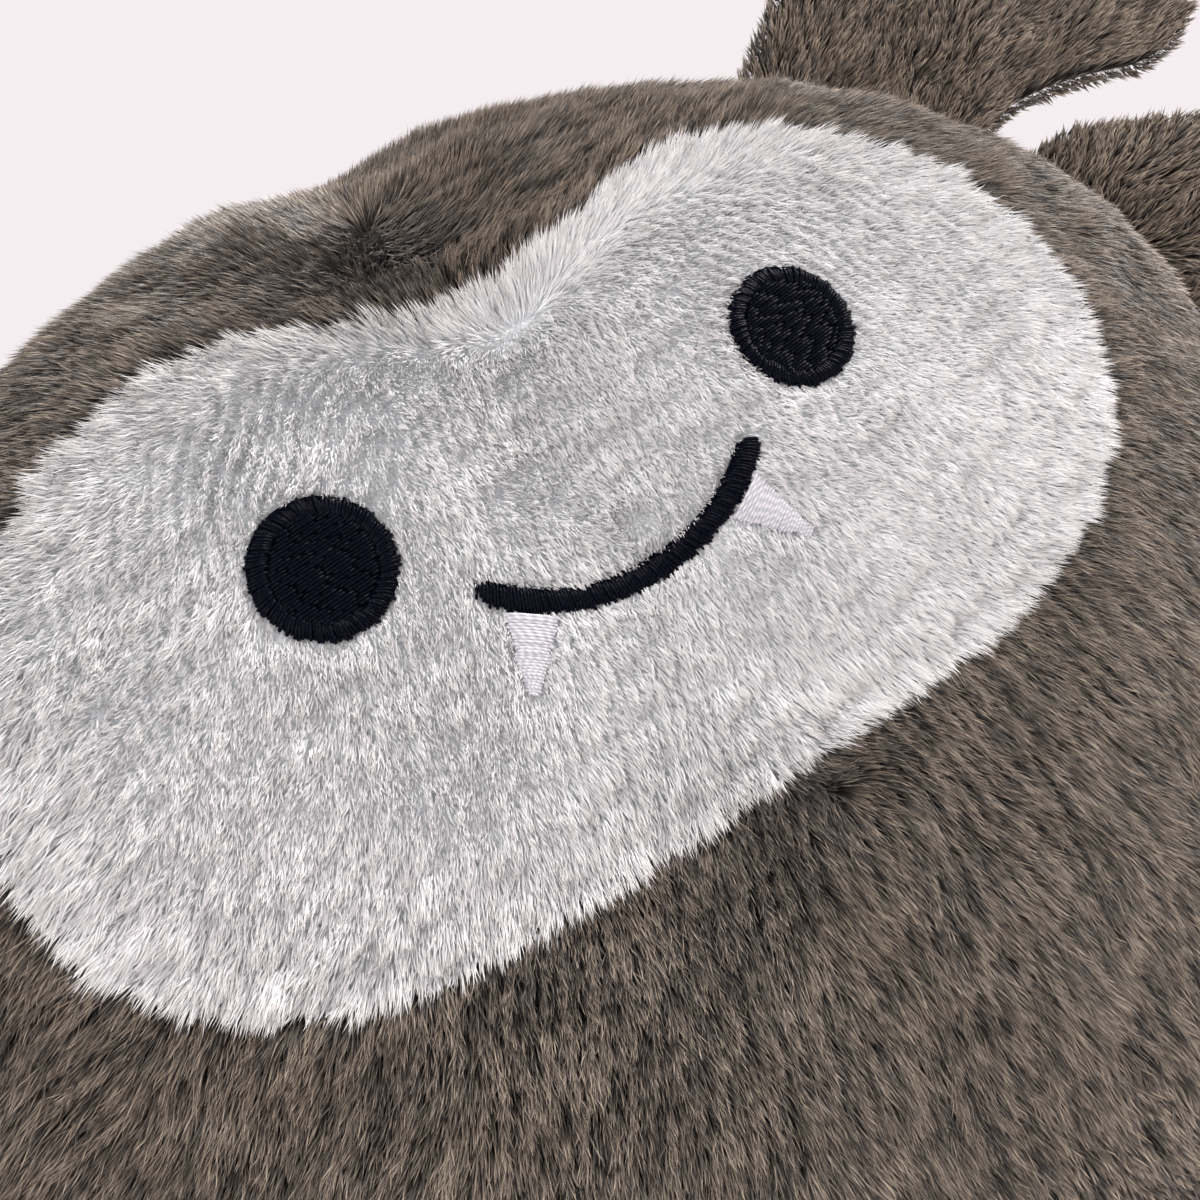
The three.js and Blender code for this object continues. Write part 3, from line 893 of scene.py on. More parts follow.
@dataclass(frozen=True)
class Combing:
    """The way the pile of the body lies, with places across and up in mm.

    In front it hangs down and fans out to the sides. Over the face it runs away from the pucker of the
    seam, beside the border of the face it splays outwards, most over the brow, and behind it hangs down.
    Pairs named rise, side or behind are where something sets in. A whorl has its place and half width.
    """

    middle: Pair = (0.0, 136.0)
    unit_length: float = 60.0
    limits: Triple = (1.45, 1.6, 0.95)
    skew: Triple = (-0.18, 0.11, -0.14)
    fan: Triple = (0.78, 0.0, -0.28)
    swing: float = 0.17
    narrowing: float = -0.11
    splay: float = 0.45
    brow_splay: float = 1.5
    splay_reach: float = 6.0
    brow_rise: Pair = (150.0, 163.0)
    brow_side: Pair = (50.0, 32.0)
    crown: Pair = (-4.0, 183.0)
    crown_rise: Pair = (163.0, 176.0)
    behind: Pair = (0.0, 45.0)
    back_flow: Triple = (0.0, 0.35, -1.0)
    whorls: tuple[tuple[float, float, float, float], ...] = (
        (-4.0, -45.0, 183.0, 13.0), (6.0, -62.0, 102.0, 5.5),
    )
    drifts: tuple[Waves, ...] = (Waves(16.0, 21, 0.16), Waves(4.5, 22, 0.1))
    lean_places: tuple[float, ...] = (0.0, 30.0, 56.0, 64.0, 95.0)
    lean_degrees: tuple[float, ...] = (39.0, 41.0, 45.0, 58.0, 65.0)
    lean_patches: Waves = Waves(12.0, 23, 4.0)
    row_pitch: float = 1.5
    row_drift: Waves = Waves(11.0, 24, 1.7)

    def distance(self, points: Array) -> Array:
        """Distance from the middle of the face as seen from the front."""
        return np.hypot(points[:, 0] - self.middle[0], points[:, 2] - self.middle[1])

    def turned(self, points: Array) -> Array:
        """How far the pile in front turns from straight down to the toy's left.

        s(b) + f(b) a + g a^2 b + h a^3, with a and b the distances across and up from the middle of the
        face in unit lengths, s(b) = s0 + s1 b + s2 b^3 and f(b) = f0 + f1 b + f2 b^2.

        Args:
            points: (n, 3) places in mm.

        Returns:
            Angles in radians.
        """
        side, down, up = self.limits
        a = (points[:, 0] / self.unit_length).clip(-side, side)
        b = ((points[:, 2] - self.middle[1]) / self.unit_length).clip(-down, up)
        skew = self.skew[0] + self.skew[1] * b + self.skew[2] * b**3
        fan = self.fan[0] + self.fan[1] * b + self.fan[2] * b**2
        return skew + fan * a + self.swing * a**2 * b + self.narrowing * a**3

    def lie(self, points: Array, normals: Array) -> Array:
        """The combed direction at each place, shorter where the pile stands up.

        Soft steps blend the hanging flow into the flow away from the crown and into the flow behind,
        the border's splay is added, whorls point away from their middles, and drifts are added last.

        Args:
            points: (n, 3) places in mm.
            normals: outward directions there.

        Returns:
            (n, 3) directions along the surface.
        """
        seen = points[:, [0, 2]]
        brow = self.brow_splay * smooth(*self.brow_rise, seen[:, 1]) * smooth(*self.brow_side, seen[:, 0])
        border = bump(face_depth(points), 0.0, self.splay_reach) * (self.splay + brow)
        angle = self.turned(points)
        over = smooth(*self.crown_rise, seen[:, 1])[:, None]
        hanging = np.stack([np.sin(angle), -np.cos(angle)], -1)
        away = hanging * (1.0 - over) + unit(seen - self.crown) * over
        away = away + unit(seen - self.middle) * border[:, None]
        front = np.stack([away[:, 0], np.zeros(len(points)), away[:, 1]], -1)
        behind = smooth(*self.behind, points[:, 1])[:, None]
        flow = front * (1.0 - behind) + np.array(self.back_flow) * behind
        flow = unit(along_surface(flow, normals))
        for *place, reach in self.whorls:
            away = points - np.array(place)
            near = bump(np.linalg.norm(away, axis=1), 0.0, reach)[:, None]
            flow = flow * (1.0 - near) + unit(along_surface(away, normals)) * near
        drift = sum(waves.slope(points) for waves in self.drifts)
        return along_surface(flow + drift, normals)

    def lean(self, points: Array) -> Array:
        """Angle from upright in radians: its stops by distance from the middle, plus soft patches."""
        degrees = np.interp(self.distance(points), self.lean_places, self.lean_degrees)
        return np.radians(degrees + self.lean_patches.value(points))

    def rows(self, points: Array) -> Array:
        """Fine rows across the combed direction: sin(2 pi * distance / pitch + drift)."""
        phase = self.distance(points) / self.row_pitch * FULL_TURN + self.row_drift.value(points)
        return np.sin(phase)


COMBING = Combing()


# Materials


@dataclass(frozen=True)
class PileFinish:
    """Linear colours of a pile from root to tip, and how much single strands differ. The colours along a
    strand hold painted shade and painted light as well as the fibre's own colour.
    """

    root: Colour
    middle: Colour
    tip: Colour
    variety: float
    roughness: float
    gloss: float
    sheen: float


@dataclass(frozen=True)
class ClothFinish:
    """Two colours that a knitted, woven or fibrous surface wavers between, and its grain in mm."""

    first: Colour
    second: Colour
    grain: float
    relief: float
    roughness: float
    gloss: float = 0.2
    sheen: float = 0.1


@dataclass(frozen=True)
class ThreadFinish:
    """Colours between and on the twists of thread, and how many twists a stitch shows. The darker colour
    between the twists is painted shade in the grooves.
    """

    first: Colour
    second: Colour
    roughness: float
    gloss: float
    sheen: float
    twists: float = 7.0


# Painted shade and highlight: the near-black root stands for the shade deep in the pile, and the pale tip
# for the sheen that the tips catch, over the pile's own dark grey-brown.
DARK_PILE = PileFinish(
    root=(0.008, 0.0055, 0.004), middle=(0.047, 0.036, 0.025), tip=(0.272, 0.222, 0.170),
    variety=1.3, roughness=0.45, gloss=0.32, sheen=0.36,
)
# Painted light: the roots are paler than the tips to offset the shade deep in the pile.
PALE_PILE = PileFinish(
    root=(0.92, 0.945, 0.96), middle=(0.865, 0.875, 0.88), tip=(0.835, 0.80, 0.785),
    variety=0.22, roughness=0.7, gloss=0.12, sheen=0.08,
)
# Partly the cloth's own dark dye, partly painted shade: darkened to the shade between strands.
DARK_BACKING_AND_SHADE = ClothFinish(
    (0.018, 0.014, 0.011), (0.036, 0.029, 0.023), grain=0.9, relief=0.3, roughness=0.95,
)
PALE_BACKING = ClothFinish((0.84, 0.88, 0.90), (0.88, 0.91, 0.92), grain=0.9, relief=0.3, roughness=0.95)
FIBRE = ClothFinish((0.80, 0.80, 0.78), (0.92, 0.92, 0.90), grain=3.0, relief=0.6, roughness=1.0)
POUCH = ClothFinish((0.42, 0.40, 0.36), (0.55, 0.53, 0.48), grain=1.1, relief=0.5, roughness=0.9)
# Painted shade: the first colour of each thread is darker, for the grooves between its twists.
BLACK_THREAD = ThreadFinish(
    (0.0006, 0.0008, 0.0024), (0.0022, 0.0032, 0.010), roughness=0.3, gloss=0.06, sheen=0.0,
)
WHITE_THREAD = ThreadFinish((0.50, 0.50, 0.54), (0.74, 0.72, 0.74), roughness=0.5, gloss=0.3, sheen=0.05)


@dataclass
class NodeSheet:
    """A small helper that adds nodes to a tree, side by side, and joins them."""

    tree: NodeTree
    column: int = 0
    spacing: int = 180

    def add(self, kind: str, settings: dict[str, object] | None = None, **inputs: object) -> Node:
        """Adds a node.

        Args:
            kind: the node's type.
            settings: its properties.
            inputs: for each input, by name or as i0, i1 ..., a socket to join or a value.

        Returns:
            The node.
        """
        node = self.tree.nodes.new(kind)
        node.location = (self.column * self.spacing, 0)
        self.column += 1
        for key, value in (settings or {}).items():
            setattr(node, key, value)
        for key, value in inputs.items():
            place = int(key[1:]) if key[0] == "i" and key[1:].isdigit() else key.replace("_", " ")
            socket = node.inputs[place]
            if isinstance(value, NodeSocket):
                self.join(value, socket)
            else:
                socket.default_value = value
        return node

    def join(self, output: NodeSocket, socket: NodeSocket) -> None:
        """Joins an output to an input."""
        self.tree.links.new(output, socket)

    def maths(self, operation: str, first: object, second: object = 0.0) -> NodeSocket:
        """The result of a maths node."""
        return self.add("ShaderNodeMath", {"operation": operation}, i0=first, i1=second).outputs[0]

    def mixed(self, factor: object, first: object, second: object) -> NodeSocket:
        """A colour between two others."""
        return self.add("ShaderNodeMix", {"data_type": "RGBA"}, i0=factor, i6=first, i7=second).outputs[2]

    def mapped(self, value: NodeSocket, low: float, high: float) -> NodeSocket:
        """A value carried smoothly from a range to 0 to 1."""
        settings = {"interpolation_type": "SMOOTHSTEP"}
        return self.add("ShaderNodeMapRange", settings, i0=value, i1=low, i2=high, i3=0.0, i4=1.0).outputs[0]


def new_group(name: str, inputs: dict[str, Socket],
              outputs: dict[str, Socket]) -> tuple[NodeSheet, dict[str, NodeSocket], Node]:
    """A shader node group.

    Args:
        name: the group's name.
        inputs: socket types by socket name.
        outputs: socket types by socket name.

    Returns:
        The sheet to build on, the group's input sockets by name, and its output node.
    """
    tree = bpy.data.node_groups.new(name, "ShaderNodeTree")
    for direction, sockets in (("INPUT", inputs), ("OUTPUT", outputs)):
        for socket, kind in sockets.items():
            tree.interface.new_socket(name=socket, in_out=direction, socket_type=kind.value)
    sheet = NodeSheet(tree)
    given = sheet.add("NodeGroupInput")
    result = tree.nodes.new("NodeGroupOutput")
    return sheet, {socket: given.outputs[socket] for socket in inputs}, result


class Materials:
    """Every material of the toy, and the shader groups that they share."""

    STRAND_LOWER = (0.0, 0.5)
    STRAND_UPPER = (0.45, 1.0)
    CELLS_SHARE = 0.6
    NOISE_SHARE = 0.5
    NOISE_DETAIL = 3.0
    GRAIN_DEPTH = 0.0004
    TWIST_RELIEF = 0.35
    TWIST_DEPTH = 0.00006
    SHEEN_ROUGHNESS = 0.5

    def __init__(self) -> None:
        """Builds the groups first, because the materials use them."""
        self.pile_group = self._pile_group()
        self.cloth_group = self._cloth_group()
        self.thread_group = self._thread_group()
        self.dark_pile = self._pile("dark_fur", DARK_PILE)
        self.pale_pile = self._pile("pale_fur", PALE_PILE)
        self.dark_backing_and_shade = self._cloth("dark_backing_and_shade", DARK_BACKING_AND_SHADE)
        self.pale_backing = self._cloth("pale_backing", PALE_BACKING)
        self.fibre = self._cloth("fibre", FIBRE)
        self.pouch = self._cloth("pouch", POUCH)
        self.threads = {
            Slot.BLACK: self._thread("blue_black_rayon", BLACK_THREAD),
            Slot.WHITE: self._thread("white_rayon", WHITE_THREAD),
        }

    def _pile_group(self) -> NodeTree:
        """Colour of a strand: root to middle to tip along it, times 2 * ((tone - 0.5) * variety + 0.5). Both
        the change along it and the tone carry painted shade and painted light as well as the strands' own
        uneven colour.

        Returns:
            The group, with one output, Color.
        """
        inputs = {
            "Along": Socket.VALUE, "Tone": Socket.VALUE, "Root": Socket.COLOUR, "Middle": Socket.COLOUR,
            "Tip": Socket.COLOUR, "Variety": Socket.VALUE,
        }
        sheet, given, result = new_group("StrandColour", inputs, {"Color": Socket.COLOUR})
        lower = sheet.mixed(sheet.mapped(given["Along"], *self.STRAND_LOWER), given["Root"], given["Middle"])
        whole = sheet.mixed(sheet.mapped(given["Along"], *self.STRAND_UPPER), lower, given["Tip"])
        away = sheet.maths("SUBTRACT", given["Tone"], 0.5)
        gain = sheet.maths("ADD", sheet.maths("MULTIPLY", away, given["Variety"]), 0.5)
        twice = sheet.maths("MULTIPLY", gain, 2.0)
        bright = sheet.add("ShaderNodeVectorMath", {"operation": "SCALE"}, i0=whole, Scale=twice)
        sheet.join(bright.outputs[0], result.inputs["Color"])
        return sheet.tree

    def _cloth_group(self) -> NodeTree:
        """A fibrous surface: cells of one grain broken up by finer noise.

        Returns:
            The group, with the outputs Mask and Normal.
        """
        inputs = {"Grain": Socket.VALUE, "Relief": Socket.VALUE}
        outputs = {"Mask": Socket.VALUE, "Normal": Socket.VECTOR}
        sheet, given, result = new_group("FibreGrain", inputs, outputs)
        place = sheet.add("ShaderNodeTexCoord").outputs["Object"]
        scale = sheet.maths("DIVIDE", 1.0 / MILLIMETRE, given["Grain"])
        cells = sheet.add("ShaderNodeTexVoronoi", Vector=place, Scale=scale).outputs["Distance"]
        finer = sheet.maths("MULTIPLY", scale, 2.0)
        noise = sheet.add("ShaderNodeTexNoise", Vector=place, Scale=finer, Detail=self.NOISE_DETAIL)
        coarse = sheet.maths("MULTIPLY", cells, self.CELLS_SHARE)
        fine = sheet.maths("MULTIPLY", noise.outputs[0], self.NOISE_SHARE)
        height = sheet.maths("ADD", coarse, fine)
        relief = {"Strength": given["Relief"], "Distance": self.GRAIN_DEPTH}
        normal = sheet.add("ShaderNodeBump", Height=height, **relief)
        sheet.join(height, result.inputs["Mask"])
        sheet.join(normal.outputs[0], result.inputs["Normal"])
        return sheet.tree

    def _thread_group(self) -> NodeTree:
        """Twisted thread: bands sin(2 pi (u * twists + v)) that slant over the strand's own map.

        Returns:
            The group, with the outputs Mask and Normal.
        """
        outputs = {"Mask": Socket.VALUE, "Normal": Socket.VECTOR}
        sheet, given, result = new_group("ThreadTwist", {"Twists": Socket.VALUE}, outputs)
        strand = sheet.add("ShaderNodeUVMap", {"uv_map": STRAND_MAP}).outputs[0]
        parts = sheet.add("ShaderNodeSeparateXYZ", i0=strand)
        turns = sheet.maths("MULTIPLY", parts.outputs[0], given["Twists"])
        slant = sheet.maths("ADD", turns, parts.outputs[1])
        band = sheet.maths("SINE", sheet.maths("MULTIPLY", slant, FULL_TURN))
        mask = sheet.maths("ADD", sheet.maths("MULTIPLY", band, 0.5), 0.5)
        relief = {"Strength": self.TWIST_RELIEF, "Distance": self.TWIST_DEPTH}
        normal = sheet.add("ShaderNodeBump", Height=mask, **relief)
        sheet.join(mask, result.inputs["Mask"])
        sheet.join(normal.outputs[0], result.inputs["Normal"])
        return sheet.tree

    def _new(self, name: str,
             finish: PileFinish | ClothFinish | ThreadFinish) -> tuple[Material, NodeSheet, Node]:
        """A material with one Principled shader, set to its finish's roughness, gloss and sheen.

        Args:
            name: the material's name.
            finish: what it is made of.

        Returns:
            The material, the sheet that its other nodes go on, and the shader.
        """
        material = bpy.data.materials.new(name)
        material.use_nodes = True
        material.node_tree.nodes.clear()
        sheet = NodeSheet(material.node_tree)
        shader = sheet.add("ShaderNodeBsdfPrincipled")
        sheet.add("ShaderNodeOutputMaterial", i0=shader.outputs[0])
        shader.inputs["Roughness"].default_value = finish.roughness
        shader.inputs["Specular IOR Level"].default_value = finish.gloss
        shader.inputs["Sheen Weight"].default_value = finish.sheen
        shader.inputs["Sheen Roughness"].default_value = self.SHEEN_ROUGHNESS
        return material, sheet, shader

    def _pile(self, name: str, finish: PileFinish) -> Material:
        """Pile whose strands change colour from root to tip.

        Args:
            name: the material's name.
            finish: the pile's colours and gloss.

        Returns:
            The material.
        """
        material, sheet, shader = self._new(name, finish)
        strand = sheet.add("ShaderNodeUVMap", {"uv_map": PILE_MAP}).outputs[0]
        parts = sheet.add("ShaderNodeSeparateXYZ", i0=strand)
        group = sheet.add(
            "ShaderNodeGroup", {"node_tree": self.pile_group}, Along=parts.outputs[0], Tone=parts.outputs[1],
            Variety=finish.variety, Root=(*finish.root, 1.0), Middle=(*finish.middle, 1.0),
            Tip=(*finish.tip, 1.0),
        )
        sheet.join(group.outputs["Color"], shader.inputs["Base Color"])
        return material

    def _masked(self, name: str, finish: ClothFinish | ThreadFinish, tree: NodeTree,
                **values: float) -> Material:
        """Cloth or thread, whose group's mask mixes its two colours and whose group gives its relief.

        Args:
            name: the material's name.
            finish: its colours and gloss.
            tree: its group.
            values: the group's inputs.

        Returns:
            The material.
        """
        material, sheet, shader = self._new(name, finish)
        group = sheet.add("ShaderNodeGroup", {"node_tree": tree}, **values)
        colour = sheet.mixed(group.outputs["Mask"], (*finish.first, 1.0), (*finish.second, 1.0))
        sheet.join(colour, shader.inputs["Base Color"])
        sheet.join(group.outputs["Normal"], shader.inputs["Normal"])
        return material

    def _cloth(self, name: str, finish: ClothFinish) -> Material:
        """Knitted backing, woven cloth or loose fibre."""
        return self._masked(name, finish, self.cloth_group, Grain=finish.grain, Relief=finish.relief)

    def _thread(self, name: str, finish: ThreadFinish) -> Material:
        """Glossy twisted embroidery thread."""
        return self._masked(name, finish, self.thread_group, Twists=finish.twists)


def finish_piece(obj: Object, material: Material, nodes: tuple[str, ...] = ()) -> None:
    """Dresses a piece and reports it.

    Args:
        obj: the piece.
        material: what it is made of.
        nodes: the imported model's nodes that it stands for.
    """
    obj.data.materials.append(material)
    log.info("%s: %d faces", obj.name, len(obj.data.polygons))
    if nodes:
        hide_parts(*nodes)


# The body


@dataclass(frozen=True)
class Seams:
    """Where the panels of the body meet: a depth, a height and a distance inside the face's outline, in mm.

    far is what a place counts as away from a seam that doesn't reach it.
    """

    side: float = -12.0
    base: float = 6.0
    window: float = 2.5
    far: float = 20.0

    def panels(self, points: Array) -> tuple[Array, Array, Array]:
        """Which panel places are on.

        Args:
            points: (n, 3) places in mm.

        Returns:
            Whether each place is on the base, on the front panel and on the back.
        """
        base = points[:, 2] < self.base
        front = (points[:, 1] < self.side) & ~base
        return base, front, ~front & ~base

    def distance(self, points: Array) -> Array:
        """How far places are from the nearest seam, the least of the distances along one axis.

        Args:
            points: (n, 3) places in mm.

        Returns:
            Distances in mm.
        """
        x, y, z = points.T
        side = np.abs(y - self.side) + self.far * (z < self.base)
        back = np.abs(x) + self.far * (y < self.side)
        return np.minimum(np.minimum(side, back), np.abs(z - self.base))


SEAMS = Seams()


def thicken(obj: Object, cloth: float = 1.2) -> None:
    """Gives a panel the thickness of its cloth, inwards.

    Args:
        obj: the panel.
        cloth: its thickness in mm.
    """
    solid = obj.modifiers.new("cloth", "SOLIDIFY")
    solid.thickness = cloth * MILLIMETRE
    solid.offset = -1.0


@dataclass
class DarkPile:
    """The dark pile all round the body, in pieces by place, in mm.

    densities are strands per square mm behind, what is added in front, and what is added near the face.
    Pairs named front, rise, side, reach or fine are the ends of the soft step by which something sets in.
    low_densities and seam_lengths are a share and what the step adds, and widths the widest blade and
    what the step takes off.
    """

    materials: Materials
    densities: Triple = (2.5, 1.6, 10.6)
    front: Pair = (8.0, -24.0)
    face_rise: Pair = (40.0, 66.0)
    face_side: Pair = (98.0, 82.0)
    low_densities: Pair = (0.4, 0.6)
    low_rise: Pair = (0.0, 9.0)
    seed: int = 31
    row_lean: float = 0.06
    length: float = 4.2
    unevenness: Waves = Waves(9.0, 33, 0.35)
    seam_lengths: Pair = (0.55, 0.45)
    seam_reach: Pair = (0.0, 2.6)
    widths: Pair = (0.68, 0.49)
    fine: Pair = (3.2, 14.0)
    nap: Nap = Nap(clump=0.6, tuft=1.9, streak=2.2, spread=0.2, curl=0.06, seed=35)
    levels: tuple[tuple[str, float, float], ...] = (
        ("low", 0.0, 66.0), ("middle", 66.0, 90.0), ("high", 90.0, 150.0), ("top", 150.0, 210.0),
    )

    def build(self, skin: Surface) -> None:
        """Grows the pile on the cloth of the body.

        Args:
            skin: that cloth.
        """
        points, normals = skin.scatter(self._density, self.seed)
        kept = ~((face_depth(points) > 0.0) & (points[:, 1] < SEAMS.side))
        points, normals = points[kept], normals[kept]
        lean = COMBING.lean(points) + self.row_lean * COMBING.rows(points)
        short, added = self.seam_lengths
        by_seams = short + added * smooth(*self.seam_reach, SEAMS.distance(points))
        length = (self.length + self.unevenness.value(points)) * by_seams
        width = self.widths[0] - self.widths[1] * smooth(*self.fine, self._density(points))
        strands = self.nap.grow(points, normals, COMBING.lie(points, normals), lean, length, width)
        for name, chosen in self._regions(points).items():
            obj = strands.keep(chosen).to_object(name)
            finish_piece(obj, self.materials.dark_pile)
            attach(obj, "body")

    def _density(self, points: Array) -> Array:
        """Strands per square mm: thick round the face, thinner at the sides, behind and below.

        Args:
            points: (n, 3) places in mm.

        Returns:
            The density at each.
        """
        x, y, z = points.T
        behind, in_front, near_face = self.densities
        low, added = self.low_densities
        near = smooth(*self.face_rise, z) * smooth(*self.face_side, np.abs(x))
        front = (in_front + near_face * near) * smooth(*self.front, y)
        return (behind + front) * (low + added * smooth(*self.low_rise, z))

    def _regions(self, points: Array) -> dict[str, Array]:
        """Which strands belong to which piece.

        Args:
            points: (n, 3) places of the roots in mm.

        Returns:
            For each piece's name, whether each strand is in it.
        """
        base, front, back = SEAMS.panels(points)
        regions = {"base_pile": base}
        for side in Side:
            for level, low, high in self.levels:
                within = side.holds(points[:, 0]) & (points[:, 2] > low) & (points[:, 2] <= high)
                regions[f"front_pile_{level}_{side.label}"] = within & front
                regions[f"back_pile_{level}_{side.label}"] = within & back
        return regions


@dataclass
class Face:
    """The pale patch let into the front panel, and its pile, in mm and radians.

    insets are how deep the patch lies and how much deeper its border. parting and pressing are how much a
    stitch pushes the pile aside and down, and how far that reaches. Rows lean by row_lean, and by ripple
    more at the sides, and their strands are painted paler and darker with that lean, as painted light and
    shade of the rows. lengths go with depths inside the outline, and near_lengths are the share of them
    at a stitch and what is added away from it.
    """

    materials: Materials
    rings: int = 30
    sides: int = 120
    innermost: float = 0.001
    start: float = 0.03
    crowding: float = 0.6
    insets: Pair = (2.3, 0.7)
    border: Pair = (0.6, 1.0)
    fill: float = 0.8
    density: float = 21.8
    seed: int = 41
    overlap: float = 0.35
    parting: Pair = (0.5, 0.5)
    pressing: Pair = (0.12, 0.6)
    row_lean: float = 0.04
    ripple: float = 0.24
    left_ripple: Pair = (8.0, 40.0)
    right_ripple: Pair = (6.0, 35.0)
    ripple_rise: Pair = (-26.0, 0.0)
    # Painted light and shade of the rows: how much their tone follows their lean.
    painted_row_shade: float = 1.3
    depths: tuple[float, ...] = (0.0, 3.0, 9.0, 20.0)
    lengths: tuple[float, ...] = (3.7, 3.2, 2.4, 2.1)
    near_lengths: Pair = (0.75, 0.25)
    near_reach: Pair = (0.0, 1.4)
    unevenness: Waves = Waves(4.0, 43, 0.12)
    width: float = 0.17
    nap: Nap = Nap(clump=0.3, tuft=1.5, streak=1.5, spread=0.18, curl=0.06, seed=45)

    def build(self) -> None:
        """Makes the patch and grows its pile."""
        patch = self._patch()
        obj = patch.to_object("face_patch_skin")
        thicken(obj)
        finish_piece(obj, self.materials.pale_backing, ("face_patch",))
        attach(obj, "body")
        roots, strands = self._pile(patch)
        for side in Side:
            obj = strands.keep(side.holds(roots[:, 0])).to_object(f"face_pile_{side.label}")
            finish_piece(obj, self.materials.pale_pile)
            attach(obj, "body")

    def _patch(self) -> Surface:
        """The patch on a polar grid: at the share s of the way out, s^crowding times the outline's reach.

        Returns:
            Its cloth.
        """
        share = np.linspace(self.start, 1.0, self.rings) ** self.crowding
        share[0] = self.innermost
        angle = np.linspace(0.0, FULL_TURN, self.sides, endpoint=False)
        reach = share[:, None] * FACE.reach(angle)[None, :]
        x, up = reach * np.cos(angle), reach * np.sin(angle) + FACE.middle
        inset = self.insets[0] + self.insets[1] * smooth(*self.border, share)
        return on_front(x, up, np.repeat(inset, self.sides), True)

    def _pile(self, patch: Surface) -> tuple[Array, Strands]:
        """The pale pile, parted round the stitches and splayed over the dark pile at its border.

        At a distance d from a stitch it is pushed aside by strength * exp(-d / reach), and it leans
        down more by the same formula.

        Args:
            patch: the cloth that it grows on.

        Returns:
            The places of the roots, and the strands.
        """
        roots, normals = patch.scatter(evenly(self.density), self.seed)
        gaps, away = STITCHES.gaps(roots)
        kept = gaps.min(1) > -self.overlap
        roots, normals, gaps, away = roots[kept], normals[kept], gaps[kept].clip(0.0), away[kept]
        lie = COMBING.lie(roots, normals)
        strength, reach = self.parting
        for i in range(gaps.shape[1]):
            lie += along_surface(away[:, i], normals) * (strength * np.exp(-gaps[:, i] / reach))[:, None]
        near = gaps.min(1)
        ripple, rows = self._ripple(roots), COMBING.rows(roots)
        press, reach = self.pressing
        lean = COMBING.lean(roots) + ripple * rows + press * np.exp(-near / reach)
        short, added = self.near_lengths
        by_stitches = short + added * smooth(*self.near_reach, near)
        length = np.interp(face_depth(roots), self.depths, self.lengths) * by_stitches
        length = length * (1.0 + self.unevenness.value(roots))
        strands = self.nap.grow(roots, normals, lie, lean, length, self.width)
        # Painted light and shade: rows of pile painted paler or darker with their lean.
        strands.shade(self.painted_row_shade * ripple * rows)
        return roots, strands

    def _ripple(self, roots: Array) -> Array:
        """How much the rows of pile lean: more at both sides, above the smile.

        Args:
            roots: (n, 3) places in mm.

        Returns:
            Angles in radians.
        """
        x, up = roots[:, 0], roots[:, 2] - BODY.eye_height
        sides = self.ripple * smooth(*self.left_ripple, x) + self.ripple * smooth(*self.right_ripple, -x)
        return self.row_lean + sides * smooth(*self.ripple_rise, up)


@dataclass
class Filling:
    """The lump of fibre and the pouch of pellets under the skin, in mm.

    Each has its inset, its lowest and highest ring, how many rings and points in a ring, and its fill, which
    is not used.
    """

    materials: Materials
    fibre: Triple = (6.3, 47.6, 192.6)
    fibre_grid: tuple[int, int] = (30, 72)
    fibre_fill: float = 0.8
    lumps: Waves = Waves(13.0, 51, 0.7)
    lump_rise: Pair = (120.0, 70.0)
    lump_limit: float = 0.6
    pouch: Triple = (7.4, 7.4, 46.5)
    pouch_grid: tuple[int, int] = (22, 132)
    pouch_fill: float = 0.6
    beads: Waves = Waves(4.2, 53, 0.35, count=20)
    bead_limit: float = 0.7
    sag: float = 1.2

    def build(self) -> None:
        """Makes both."""
        fibre = BODY.rings(*self.fibre, *self.fibre_grid)
        push = self.lumps.value(fibre.points) * bump(fibre.points[:, 2], *self.lump_rise)
        fibre.points += fibre.normals() * np.minimum(push, self.lump_limit)[:, None]
        obj = fibre.to_object("filling")
        finish_piece(obj, self.materials.fibre, ("fibre_filling",))
        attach(obj, "body")
        pouch = BODY.rings(*self.pouch, *self.pouch_grid)
        push = np.abs(self.beads.value(pouch.points)).clip(0.0, self.bead_limit)
        pouch.points += pouch.normals() * push[:, None] - [0.0, 0.0, self.sag]
        obj = pouch.to_object("pellets_in_pouch")
        finish_piece(obj, self.materials.pouch, ("pellet_pouch",))
        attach(obj, "body")


@dataclass
class Body:
    """The stuffed head and body: its panels of plush with their pile, the face and what fills them.

    skin is how far the cloth lies below the tips of the pile, in mm.
    """

    materials: Materials
    skin: float = 3.4
    lid: float = 0.01
    rings: int = 58
    sides: int = 132
    fill: float = 0.8

    def build(self) -> None:
        """Makes every piece that rides on the body, apart from the embroidery."""
        skin = BODY.rings(self.skin, self.skin, BODY.height - self.skin - self.lid, self.rings, self.sides)
        middles = skin.middles()
        base, front, back = SEAMS.panels(middles)
        window = front & (face_depth(middles) > SEAMS.window)
        panels = {
            "body_front_skin": (front & ~window, "body_front_panel"),
            "body_back_left_skin": (back & Side.LEFT.holds(middles[:, 0]), "body_back_left_panel"),
            "body_back_right_skin": (back & Side.RIGHT.holds(middles[:, 0]), "body_back_right_panel"),
            "base_skin": (base, "base_panel"),
        }
        for name, (chosen, node) in panels.items():
            obj = skin.keep(chosen).to_object(name)
            thicken(obj)
            finish_piece(obj, self.materials.dark_backing_and_shade, (node,))
            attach(obj, "body")
        DarkPile(self.materials).build(skin.keep(~window))
        Face(self.materials).build()
        Filling(self.materials).build()


# Embroidered eyes, smile and fangs


